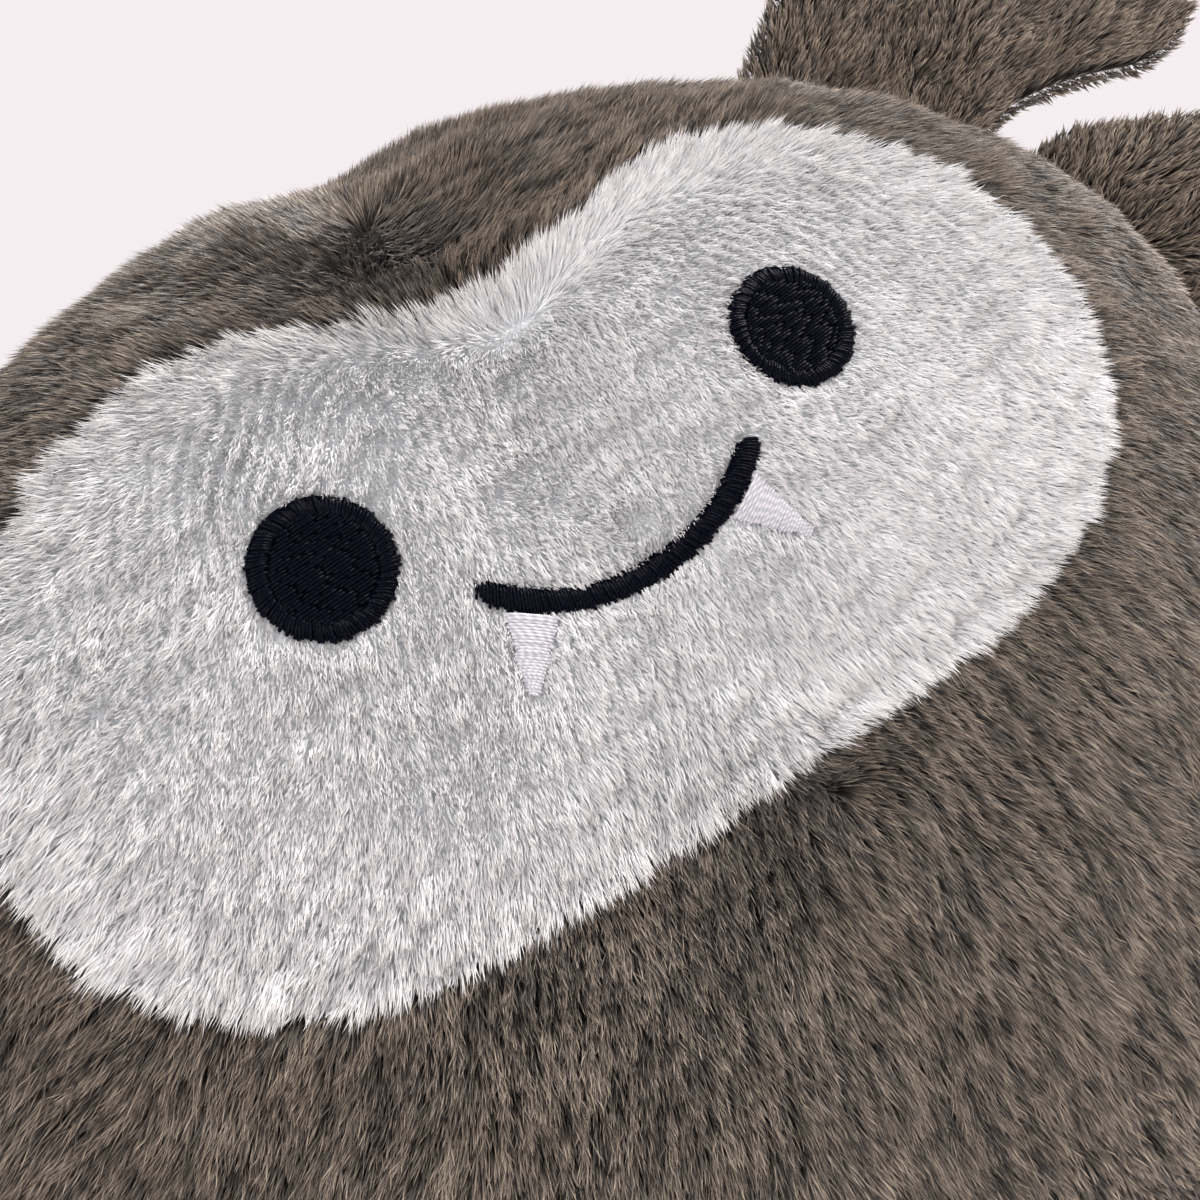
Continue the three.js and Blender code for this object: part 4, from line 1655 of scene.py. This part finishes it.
@dataclass
class Stitcher:
    """Lays thread on the face: both eyes, the smile and both fangs.

    Sizes are in mm, and in degrees along the smile. taper is how thick a stitch is at its steps. Pairs
    named depths, thickness, turn, outer, inner or ends are the limits of the stitches' unevenness. A pad
    is the backing under stitches. row and stitch are the pitch and the length of those in an eye's
    middle. smile_taper is how far past its end the smile would have no width, over how far it narrows,
    and its least width as a share.
    """

    materials: Materials
    steps: tuple[float, ...] = (0.0, 0.05, 0.25, 0.5, 0.75, 0.95, 1.0)
    taper: tuple[float, ...] = (0.12, 1.0, 1.0, 1.0, 1.0, 1.0, 0.12)
    corners: int = 6
    arch: float = 0.55
    low_arch: float = 0.3
    depths: Pair = (-0.08, 0.1)
    thickness: Pair = (0.9, 1.12)
    margin: float = 0.2
    rim_seed: int = 60
    middle_seed: int = 64
    fang_seed: int = 68
    smile_seed: int = 72
    rim_count: int = 118
    rim_slant: float = 0.1
    rim_turn: Pair = (-0.008, 0.008)
    rim_outer: Pair = (-0.35, 0.12)
    rim_inner: Pair = (-0.1, 0.3)
    rim_pad: tuple[float, int, int] = (0.01, 8, 48)
    row: float = 0.36
    stitch: float = 3.1
    row_slant: float = 0.1
    row_shift: float = 2.6
    row_start: float = 0.2
    row_overlap: float = 0.25
    shortest: float = 0.5
    smile_count: int = 104
    smile_slant: float = 0.7
    smile_overrun: float = 2.0
    smile_taper: Triple = (3.0, 4.0, 0.25)
    smile_ends: Pair = (-0.35, 0.3)
    smile_pad: tuple[int, int] = (4, 60)
    fang_count: int = 25
    fang_slant: float = 0.1
    fang_ends: Pair = (-0.25, 0.25)
    fang_pad: tuple[float, int] = (0.9, 5)

    def build(self) -> None:
        """Makes every patch of stitches, with its backing."""
        for side in Side:
            self._eye_rim(side)
            self._eye_middle(side)
            self._fang(side)
        self._smile()

    def _lay(self, name: str, slot: Slot, starts: Array, ends: Array, seed: int,
             arch: float) -> None:
        """Lays stitches, each a low arch of thread.

        Along a stitch s runs from 0 to 1, its path is a straight line that rises by
        arch * (1 - (2 s - 1)^4) from the floor, and round it the thread is a circle of its radius.

        Args:
            name: the node that the stitches stand for.
            slot: the thread's slot.
            starts, ends: (n, 2) places across and over the eyes, in mm.
            seed: the same seed gives the same unevenness.
            arch: how high a stitch rises over its ends, in mm.
        """
        rng = np.random.default_rng(seed)
        s = np.array(self.steps)[None, :, None]
        taper = np.array(self.taper)[None, :, None, None]
        count, steps = len(starts), s.size
        flat = starts[:, None] * (1.0 - s) + ends[:, None] * s
        inset = STITCHES.top + STITCHES.thread + arch * ((2.0 * s[..., 0] - 1.0) ** 4)
        inset = inset + rng.uniform(*self.depths, count)[:, None]
        x, z = flat[..., 0].ravel(), flat[..., 1].ravel() + BODY.eye_height
        normal = BODY.front_normals(x, z).reshape(count, steps, 3)
        path = BODY.front(x, z, 0.0).reshape(count, steps, 3) - normal * inset[..., None]
        along = unit(np.gradient(path, s[0, :, 0], axis=1))
        beside = unit(np.cross(along, normal))
        above = np.cross(beside, along)
        angle = (np.arange(self.corners) / self.corners * FULL_TURN)[:, None]
        radius = STITCHES.thread * rng.uniform(*self.thickness, count)[:, None, None, None]
        ring = beside[:, :, None] * np.cos(angle) + above[:, :, None] * np.sin(angle)
        points = path[:, :, None] + ring * radius * taper
        faces, uv = self._wrapped(count, steps, rng)
        obj = new_mesh(f"{name}_stitches", points.reshape(-1, 3), faces, uv)
        finish_piece(obj, self.materials.threads[slot], (name,))
        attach(obj, "body")

    def _wrapped(self, count: int, steps: int, rng: np.random.Generator) -> tuple[Array, Array]:
        """Faces of stitches, with a map whose U runs along a stitch and whose V runs once round it.

        Args:
            count: how many stitches.
            steps: how many rings each has.
            rng: where V starts on a stitch is drawn from it.

        Returns:
            Vertex numbers of the faces, and the map at their corners.
        """
        quads = grid_corners(steps, self.corners, closed=True)
        first = np.arange(count)[:, None, None] * steps * self.corners
        u = np.repeat(np.linspace(0.0, 1.0, steps), self.corners)[quads]
        v = (quads % self.corners) / self.corners
        closing = v.max(1, keepdims=True) > 0.5
        v = np.where((v == 0.0) & closing, 1.0, v)
        one = np.stack([u, v], -1).reshape(1, -1, 2)
        uv = one + rng.random((count, 1, 2)) * [0.0, 1.0]
        return (quads[None] + first).reshape(-1, 4), uv.reshape(-1, 2)

    def _pad(self, name: str, slot: Slot, x: Array, up: Array, closed: bool) -> None:
        """Lays the backing under a patch of stitches, in their colour.

        Args:
            name: the patch's name.
            slot: the thread's slot.
            x, up: (rows, columns) places across and over the eyes, in mm.
            closed: whether the last column meets the first.
        """
        obj = on_front(x, up, STITCHES.pad, closed).to_object(f"{name}_pad")
        finish_piece(obj, self.materials.threads[slot])
        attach(obj, "body")

    def _eye_rim(self, side: Side) -> None:
        """Satin stitches that run in from the eye's edge, side by side all round.

        Args:
            side: the eye's side.
        """
        name, seed, x = f"eye_{side.label}_rim", self.rim_seed + side.value, STITCHES.eye_middle(side)
        rng = np.random.default_rng(seed)
        count = self.rim_count
        angle = np.linspace(0.0, FULL_TURN, count, endpoint=False) + rng.uniform(*self.rim_turn, count)
        out = np.stack([np.cos(angle), np.sin(angle)], -1)
        slant = np.stack([-np.sin(angle), np.cos(angle)], -1) * self.rim_slant
        outer = STITCHES.eye_radius + rng.uniform(*self.rim_outer, count)
        inner = STITCHES.eye_radius - STITCHES.eye_rim - rng.uniform(*self.rim_inner, count)
        middle = np.array([x, 0.0])
        starts, ends = middle + out * inner[:, None], middle + (out + slant) * outer[:, None]
        self._lay(name, Slot.BLACK, starts, ends, seed, self.arch)
        innermost, rings, sides = self.rim_pad
        turn = np.linspace(0.0, FULL_TURN, sides, endpoint=False)
        reach = np.linspace(innermost, STITCHES.eye_radius - self.margin, rings)[:, None]
        self._pad(name, Slot.BLACK, x + reach * np.cos(turn), reach * np.sin(turn), True)

    def _eye_middle(self, side: Side) -> None:
        """Rows of short stitches that fill the eye's middle, over sqrt(radius^2 - row^2) to each side.

        Args:
            side: the eye's side.
        """
        name, seed, x = f"eye_{side.label}_middle", self.middle_seed + side.value, STITCHES.eye_middle(side)
        rng = np.random.default_rng(seed)
        radius = STITCHES.eye_radius - STITCHES.eye_rim + self.row_overlap
        starts, ends = [], []
        for row in np.arange(self.row_start - radius, radius, self.row):
            half = math.sqrt(radius**2 - row**2)
            for cut in np.arange(-half - rng.uniform(0.0, self.row_shift), half, self.stitch):
                low, high = max(cut, -half), min(cut + self.stitch, half)
                if high - low > self.shortest:
                    starts.append((x + low, row + self.row_slant * low))
                    ends.append((x + high, row + self.row_slant * high))
        self._lay(name, Slot.BLACK, np.array(starts), np.array(ends), seed, self.low_arch)

    def _smile(self) -> None:
        """Satin stitches across the arc of the smile, slanting a little.

        Its width at an angle a is the stroke's times sqrt((limit + past - |a|) / over), held under 1.
        """
        name, seed = "smile", self.smile_seed
        rng = np.random.default_rng(seed)
        limit, middle, stroke = STITCHES.smile_half_angle, STITCHES.smile_radius, STITCHES.smile_stroke
        past, over, least = self.smile_taper
        count, overrun = self.smile_count, self.smile_overrun
        degrees = np.linspace(-limit - overrun, limit + overrun, count)
        edge = np.clip((limit + past - np.abs(degrees)) / over, least, 1.0) ** 0.5
        half = stroke / 2.0 * edge + rng.uniform(*self.smile_ends, count)
        starts = STITCHES.smile_point(middle - half, degrees - self.smile_slant)
        ends = STITCHES.smile_point(middle + half, degrees + self.smile_slant)
        self._lay(name, Slot.BLACK, starts, ends, seed, self.arch)
        rows, columns = self.smile_pad
        across = np.linspace(self.margin - stroke / 2.0, stroke / 2.0 - self.margin, rows)
        bend = np.linspace(-limit, limit, columns)
        pad = STITCHES.smile_point(middle + across[:, None], bend[None, :])
        self._pad(name, Slot.BLACK, pad[..., 0], pad[..., 1], False)

    def _fang(self, side: Side) -> None:
        """White satin stitches across a fang, shorter towards its tip.

        Args:
            side: the fang's side.
        """
        name, seed = f"fang_{side.label}", self.fang_seed + side.value
        rng = np.random.default_rng(seed)
        count = self.fang_count
        share = (np.arange(count) + 0.5) / count
        radius = STITCHES.smile_edge + STITCHES.seam + share * STITCHES.fang_length
        half = STITCHES.fang_half(share) + rng.uniform(*self.fang_ends, count)
        half = np.degrees(half / radius)
        starts = STITCHES.smile_point(radius + self.fang_slant, STITCHES.fang_angle - half)
        ends = STITCHES.smile_point(radius - self.fang_slant, STITCHES.fang_angle + half)
        mirror = np.array([side.value, 1.0])
        self._lay(name, Slot.WHITE, starts * mirror, ends * mirror, seed, self.arch)
        wide, rows = self.fang_pad
        across = np.linspace(wide, -wide, rows)[:, None]
        angle = STITCHES.fang_angle + half[None, :] * across * side.value
        pad = STITCHES.smile_point(radius[None, :], angle) * mirror
        self._pad(name, Slot.WHITE, pad[..., 0], pad[..., 1], False)


# Ears and wings


@dataclass(frozen=True)
class LimbForm:
    """A flap sewn to the side of the body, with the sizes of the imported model, in mm and degrees.

    height, turn and lean place its hinge. length, rise and drop are how far it reaches out, up and down,
    and start and curves are its outline in shares of them. half, tip_half and edge_half are half its
    thickness at its middle, tip and edge. A fold at its root has a height, a place and a half width.
    """

    kind: LimbKind
    height: float
    turn: float
    lean: float
    length: float
    rise: float
    drop: float
    start: Pair
    curves: tuple[tuple[Pair, ...], ...]
    centre: Pair
    half: float
    tip_half: float
    edge_half: float
    edge_power: float
    fill: float
    bow: float = 0.0
    folds: tuple[Triple, ...] = ()
    fold_reach: float = 42.0
    root_step: float = 8.0
    innermost: float = 0.004

    def scaled(self, share: Pair) -> Array:
        """Shares as mm out and up."""
        return np.array([share[0] * self.length, share[1] * (self.rise if share[1] > 0 else self.drop)])

    def outline(self, steps: int = 26) -> Array:
        """The outline: for each curve the Bernstein sum of its control points.

        Args:
            steps: how many points for each curve.

        Returns:
            (n, 2) places out and up, in mm, that turn to the left.
        """
        points, last = [], self.scaled(self.start)
        s = (np.arange(steps) / steps)[:, None]
        for row in (*self.curves, (self.start,)):
            control = [last, *(self.scaled(share) for share in row)]
            order = len(control) - 1
            weights = [math.comb(order, i) * s**i * (1.0 - s) ** (order - i) for i in range(order + 1)]
            points.append(sum(weight * place for weight, place in zip(weights, control)))
            last = control[-1]
        joined = np.concatenate(points)
        x, y = joined.T
        turning = (x * np.roll(y, -1) - y * np.roll(x, -1)).sum()
        return joined if turning > 0 else joined[::-1]

    def inner_outline(self, inset: float) -> Array:
        """The outline moved in along its own normals.

        Args:
            inset: how far, in mm.

        Returns:
            (n, 2) places out and up, in mm.
        """
        outline = self.outline()
        forward = unit(np.roll(outline, -1, 0) - np.roll(outline, 1, 0))
        return outline + np.stack([-forward[:, 1], forward[:, 0]], -1) * inset

    def frame(self) -> tuple[Array, Array, Array, Array]:
        """Where the flap is on the toy's left side.

        Returns:
            The hinge's place in mm, and the directions out, up the root and to the front.
        """
        heights = np.array([self.height, self.height + self.root_step, self.height - self.root_step])
        plain, above, below = BODY.plain_around(heights, math.radians(self.turn))
        root = unit((above - below) * [1.0, 0.0, 1.0])
        flat = np.array([root[2], 0.0, -root[0]])
        angle = math.radians(-self.lean)
        outward = flat * math.cos(angle) + np.cross(root, flat) * math.sin(angle)
        return plain, outward, root, np.cross(outward, root)

    def middle(self, u: Array, v: Array) -> Array:
        """How far the flap's middle surface stands to the front.

        bow * sin(pi u / length), plus the folds, soft hills along v that fade out over u.

        Args:
            u, v: places out from the hinge and up the root, in mm.

        Returns:
            Distances in mm.
        """
        fade = np.exp(-((np.maximum(u, 0.0) / self.fold_reach) ** 2))
        folds = sum(height * bump(v, middle, width) for height, middle, width in self.folds)
        return self.bow * np.sin(u / self.length * np.pi) + fade * folds

    def half_thickness(self, share: Array, u: Array) -> Array:
        """Half the thickness, edge + (full - edge) * (1 - share^2)^power, at a share of the way out."""
        full = self.half + (self.tip_half - self.half) * u / self.length
        return self.edge_half + (full - self.edge_half) * np.maximum(1.0 - share**2, 0.0) ** self.edge_power

    def flap(self, outline: Array, thinner: float, least: float, rings: int) -> tuple[Surface, Array]:
        """The flap as a closed surface on a polar grid.

        Its rings are at the shares sin(t) of the way to the outline, with t from 0 to a quarter turn
        on the front and back to 0 behind.

        Args:
            outline: (n, 2) places out and up, in mm.
            thinner: how far its surface lies inside the flap's own.
            least: half its thickness at the least.
            rings: how many rings each side has.

        Returns:
            The surface, and each point's share of the way from the middle to the edge.
        """
        share = np.sin(np.linspace(0.0, np.pi / 2.0, rings))
        share[0] = self.innermost
        share = np.concatenate([share, share[-2::-1]])[:, None]
        side = np.where(np.arange(2 * rings - 1) < rings, 1.0, -1.0)[:, None]
        side[rings - 1] = 0.0
        centre = np.array(self.centre)
        flat = centre + (outline - centre)[None] * share[..., None]
        u, v = flat[..., 0], flat[..., 1]
        half = np.maximum(self.half_thickness(share, u) - thinner, least)
        w = self.middle(u, v) + half * side
        point, outward, root, front = self.frame()
        places = point + u[..., None] * outward + v[..., None] * root + w[..., None] * front
        faces = triangles(grid_corners(2 * rings - 1, len(outline), closed=True)[:, ::-1])
        return Surface(places.reshape(-1, 3), faces), np.broadcast_to(share, u.shape).ravel()


EAR = LimbForm(
    kind=LimbKind.EAR, height=171.0, turn=-4.0, lean=3.0, length=82.0, rise=19.0, drop=72.0,
    start=(-0.18, 1.0),
    curves=(
        ((0, 1), (0.24, 0.8), (0.44, 0.6)),
        ((0.66, 0.4), (0.86, 0.2), (0.95, -0.14)),
        ((1.04, -0.37), (1.02, -0.72), (0.86, -0.9)),
        ((0.74, -1.03), (0.56, -1.02), (0.46, -0.83)),
        ((0.37, -0.62), (0.24, -0.34), (-0.18, -0.27)),
    ),
    centre=(36.0, -20.0), half=6.5, tip_half=6.5, edge_half=2.2, edge_power=0.6, fill=0.3,
    folds=((3.0, -25.0, 8.0), (-6.0, -9.0, 9.0)),
)
WING = LimbForm(
    kind=LimbKind.WING, height=138.0, turn=-13.0, lean=16.0, length=66.0, rise=22.0, drop=53.0,
    start=(-0.21, 0.82),
    curves=(
        ((-0.03, 1.04), (0.12, 1), (0.27, 0.6)),
        ((0.48, 0.07), (0.83, -0.26), (1, -0.72)),
        ((0.76, -0.74), (0.67, -1)),
        ((0.47, -0.85), (0.3, -1)),
        ((0.06, -0.75), (-0.21, -0.66)),
    ),
    centre=(21.0, -12.0), half=11.0, tip_half=6.0, edge_half=2.4, edge_power=0.7, fill=0.5,
    bow=5.0,
)


@dataclass
class Limb:
    """One ear or wing: its skin, its pile and any wadding, in mm and degrees.

    skin and pad_inset are how far the cloth and the wadding lie inside the flap, buried, bare and
    pad_buried how far in the body the cloth, the pile and the wadding end, and bend, where the root's
    bend would start and end, is not used.
    """

    form: LimbForm
    side: Side
    materials: Materials
    inset: float = 3.0
    skin: float = 3.4
    least: float = 0.6
    rings: int = 16
    creases: Waves = Waves(11.0, 81, 0.35)
    buried: float = 8.0
    bend: Pair = (-5.0, 9.0)
    density: float = 5.4
    seed: int = 83
    bare: float = 3.6
    outflow: float = 0.75
    fan: float = 0.6
    droop: float = 0.2
    drifts: tuple[Waves, ...] = (Waves(15.0, 84, 0.22), Waves(4.5, 85, 0.1))
    lean: float = 52.0
    lean_patches: Waves = Waves(12.0, 86, 5.0)
    length: float = 3.7
    unevenness: Waves = Waves(9.0, 87, 0.3)
    width: float = 0.4
    nap: Nap = Nap(clump=0.5, tuft=1.9, streak=2.0, spread=0.22, curl=0.05, seed=88)
    # Painted light: the ear and wing pile is painted paler than the body's, for the light that it catches.
    paler: float = 0.13
    pad_share: float = 0.56
    pad_inset: float = 6.2
    pad_least: float = 0.5
    pad_rings: int = 9
    pad_lumps: Waves = Waves(7.0, 91, 0.3)
    pad_buried: float = 1.0
    pad_fill: float = 0.4

    @property
    def name(self) -> str:
        """The limb's body in the model."""
        return f"{self.form.kind.value}_{self.side.label}"

    @property
    def sign(self) -> Array:
        """What carries a place on the left to this limb's side."""
        return np.array([self.side.value, 1.0, 1.0])

    def build(self) -> None:
        """Makes the limb's pieces, and attaches a wing's padding to the limb."""
        shell = self._shell()
        obj = self._mirrored(shell).to_object(f"{self.name}_skin")
        nodes = (f"{self.name}_front", f"{self.name}_back")
        finish_piece(obj, self.materials.dark_backing_and_shade, nodes)
        self._bend(obj)
        obj = self._pile(shell).to_object(f"{self.name}_pile")
        finish_piece(obj, self.materials.dark_pile)
        self._bend(obj)
        if self.form.kind is LimbKind.WING:
            obj = self._mirrored(self._pad()).to_object(f"{self.name}_padding")
            finish_piece(obj, self.materials.fibre, (f"{self.name}_wadding",))
            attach(obj, self.name)

    def _mirrored(self, surface: Surface) -> Surface:
        """A surface on the left as one on this limb's side, with its faces still pointing out."""
        faces = surface.faces if self.side is Side.LEFT else surface.faces[:, ::-1]
        return Surface(surface.points * self.sign, faces)

    def _bend(self, obj: Object) -> None:
        """Bakes a piece's place into its mesh.

        Args:
            obj: the piece.
        """
        point, outward, _, _ = self.form.frame()
        self.name
        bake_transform(obj)

    def _shell(self) -> Surface:
        """The limb's cloth outside the body, on the left, creased less towards its edge.

        Returns:
            The cloth.
        """
        skin, share = self.form.flap(self.form.inner_outline(self.inset), self.skin, self.least, self.rings)
        creases = self.creases.value(skin.points)
        skin.points += skin.normals() * (creases * (1.0 - share))[:, None]
        return skin.keep(~BODY.holds(skin.middles(), self.buried))

    def _pile(self, shell: Surface) -> Strands:
        """Pile combed out from the root, fanning out to the edges.

        Args:
            shell: the limb's cloth on the left.

        Returns:
            The strands on this limb's side.
        """
        point, outward, root, _ = self.form.frame()
        points, normals = shell.scatter(evenly(self.density), self.seed)
        outside = ~BODY.holds(points, self.bare)
        points, normals = points[outside], normals[outside]
        local = points - point
        u, v = local @ outward - self.form.centre[0], local @ root - self.form.centre[1]
        far = np.hypot(u, v)[:, None] / self.form.length
        fan = (u[:, None] * outward + v[:, None] * root) / self.form.length
        flow = outward * self.outflow + fan * (self.fan + far) - root * self.droop
        for drift in self.drifts:
            flow = flow + drift.slope(points)
        lie = unit(along_surface(flow, normals))
        lean = np.radians(self.lean + self.lean_patches.value(points))
        length = self.length + self.unevenness.value(points)
        strands = self.nap.grow(points, normals, lie, lean, length, self.width)
        # Painted light: paler pile on the ear or wing.
        strands.shade(self.paler)
        return Strands(strands.points * self.sign, strands.tone)

    def _pad(self) -> Surface:
        """The pad of loose fibre in a wing, on the left.

        Returns:
            Its surface outside the body.
        """
        centre = np.array(self.form.centre)
        outline = centre + (self.form.outline() - centre) * self.pad_share
        pad, share = self.form.flap(outline, self.pad_inset, self.pad_least, self.pad_rings)
        lumps = self.pad_lumps.value(pad.points)
        pad.points += pad.normals() * (lumps * (1.0 - share))[:, None]
        return pad.keep(~BODY.holds(pad.middles(), self.pad_buried))


# Camera, floor and light


@dataclass(frozen=True)
class Light:
    """A soft lamp: where it is in m, its size in m, its power in W and its colour."""

    name: str
    place: Triple
    size: float
    power: float
    colour: Colour


@dataclass(frozen=True)
class View:
    """The camera where the photograph was taken from, tilted as it was held, in m, with its lens in mm."""

    place: Triple = (-0.0467, -0.179, 0.1368)
    right: Triple = (0.8223527, -0.29392614, -0.48526656)
    down: Triple = (-0.47210217, 0.12021958, -0.87197019)
    forward: Triple = (0.31431764, 0.94820287, -0.03987926)
    lens: float = 36.98
    sensor: float = 36.0
    near: float = 0.01
    far: float = 20.0

    def build(self) -> None:
        """Makes the camera and puts it in charge."""
        data = bpy.data.cameras.new("camera")
        data.lens = self.lens
        data.sensor_width = self.sensor
        data.clip_start = self.near
        data.clip_end = self.far
        camera = bpy.data.objects.new("camera", data)
        turned = Matrix((Vector(self.right), -Vector(self.down), -Vector(self.forward))).transposed()
        camera.matrix_world = Matrix.Translation(self.place) @ turned.to_4x4()
        bpy.context.scene.collection.objects.link(camera)
        bpy.context.scene.camera = camera


@dataclass
class Studio:
    """A pale sweep of paper, soft lamps, even surroundings and the camera.

    The floor's sizes are in mm, the rest in m. The paper has one colour for the light that it sends back
    and one that the camera sees, and it fades into the background between two distances.
    """

    view: View = View()
    lights: tuple[Light, ...] = (
        Light("key", (1.1, -0.3, 0.95), 0.9, 26.0, (1.0, 0.985, 0.98)),
        Light("fill", (-0.8, -0.9, 0.75), 0.9, 9.5, (0.99, 0.985, 1.0)),
        Light("back", (0.9, 0.65, 0.8), 0.7, 19.0, (1.0, 0.99, 0.98)),
    )
    aim: Triple = (0.0, 0.0, 0.12)
    surroundings: Colour = (0.96, 0.94, 0.945)
    strength: float = 0.7
    background: Colour = (0.918, 0.855, 0.880)
    paper: Colour = (0.60, 0.575, 0.585)
    paper_seen: Colour = (0.37, 0.355, 0.361)
    roughness: float = 0.9
    fade: Pair = (0.35, 1.0)
    flat: tuple[float, ...] = (10.0, 400.0, 800.0, 1200.0)
    wall_start: float = 1600.0
    wall_bend: float = 400.0
    wall_height: float = 2600.0
    bends: int = 14
    sides: int = 96

    def build(self) -> None:
        """Sets the stage, the lamps, the surroundings and the camera."""
        self._sweep()
        for light in self.lights:
            self._lamp(light)
        self._surround()
        self.view.build()
        bpy.context.scene.view_settings.view_transform = "Standard"

    def _sweep(self) -> None:
        """A round floor that curves up into a low wall.

        Past the flat part, radius and height follow start + bend sin a and bend (1 - cos a).
        """
        turn = np.linspace(0.0, np.pi / 2.0, self.bends)
        end = [self.wall_start + self.wall_bend]
        radius = np.concatenate([self.flat, self.wall_start + self.wall_bend * np.sin(turn), end])
        floor = np.zeros(len(self.flat))
        height = np.concatenate([floor, self.wall_bend * (1.0 - np.cos(turn)), [self.wall_height]])
        radius, height = radius[:, None], height[:, None]
        round_it = np.linspace(0.0, FULL_TURN, self.sides, endpoint=False)
        x, y = radius * np.cos(round_it), radius * np.sin(round_it)
        points = np.stack([x, y, np.broadcast_to(height, x.shape)], -1)
        corners = grid_corners(len(height), self.sides, closed=True)[:, ::-1]
        sweep = new_mesh("paper_sweep", points.reshape(-1, 3), corners)
        sweep.data.materials.append(self._paper())

    def _paper(self) -> Material:
        """Paper that looks darker than the light that it sends back, and fades into the background.

        Both hold for camera rays alone.

        Returns:
            The material.
        """
        material = bpy.data.materials.new("paper")
        material.use_nodes = True
        material.node_tree.nodes.clear()
        sheet = NodeSheet(material.node_tree)
        seen = sheet.add("ShaderNodeLightPath").outputs["Is Camera Ray"]
        colour = sheet.mixed(seen, (*self.paper, 1.0), (*self.paper_seen, 1.0))
        paper = sheet.add("ShaderNodeBsdfPrincipled", Base_Color=colour, Roughness=self.roughness)
        glow = sheet.add("ShaderNodeEmission", Color=(*self.background, 1.0), Strength=1.0)
        place = sheet.add("ShaderNodeTexCoord").outputs["Object"]
        wide = sheet.add("ShaderNodeVectorMath", {"operation": "LENGTH"}, i0=place).outputs["Value"]
        share = sheet.maths("MULTIPLY", sheet.mapped(wide, *self.fade), seen)
        mix = sheet.add("ShaderNodeMixShader", i0=share, i1=paper.outputs[0], i2=glow.outputs[0])
        sheet.add("ShaderNodeOutputMaterial", i0=mix.outputs[0])
        return material

    def _lamp(self, light: Light) -> None:
        """A round area lamp that points at the toy.

        Args:
            light: what it is like.
        """
        data = bpy.data.lights.new(light.name, "AREA")
        data.shape = "DISK"
        data.size = light.size
        data.energy = light.power
        data.color = light.colour
        lamp = bpy.data.objects.new(light.name, data)
        lamp.location = light.place
        direction = Vector(self.aim) - Vector(light.place)
        lamp.rotation_euler = direction.to_track_quat("-Z", "Y").to_euler()
        bpy.context.scene.collection.objects.link(lamp)

    def _surround(self) -> None:
        """Even pale light from all round."""
        world = bpy.data.worlds.new("surroundings")
        world.use_nodes = True
        background = world.node_tree.nodes["Background"]
        background.inputs["Color"].default_value = (*self.surroundings, 1.0)
        background.inputs["Strength"].default_value = self.strength
        bpy.context.scene.world = world


def main() -> None:
    """Builds the toy and its surroundings, and logs the faces of each piece and how many meshes there are.
    """
    logging.basicConfig(level=logging.INFO, format="%(message)s")
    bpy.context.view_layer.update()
    Studio().build()
    materials = Materials()
    Body(materials).build()
    Stitcher(materials).build()
    for side in Side:
        for form in (EAR, WING):
            Limb(form, side, materials).build()
    log.info("pieces %d", len(bpy.data.meshes))


if __name__ == "__main__":
    main()
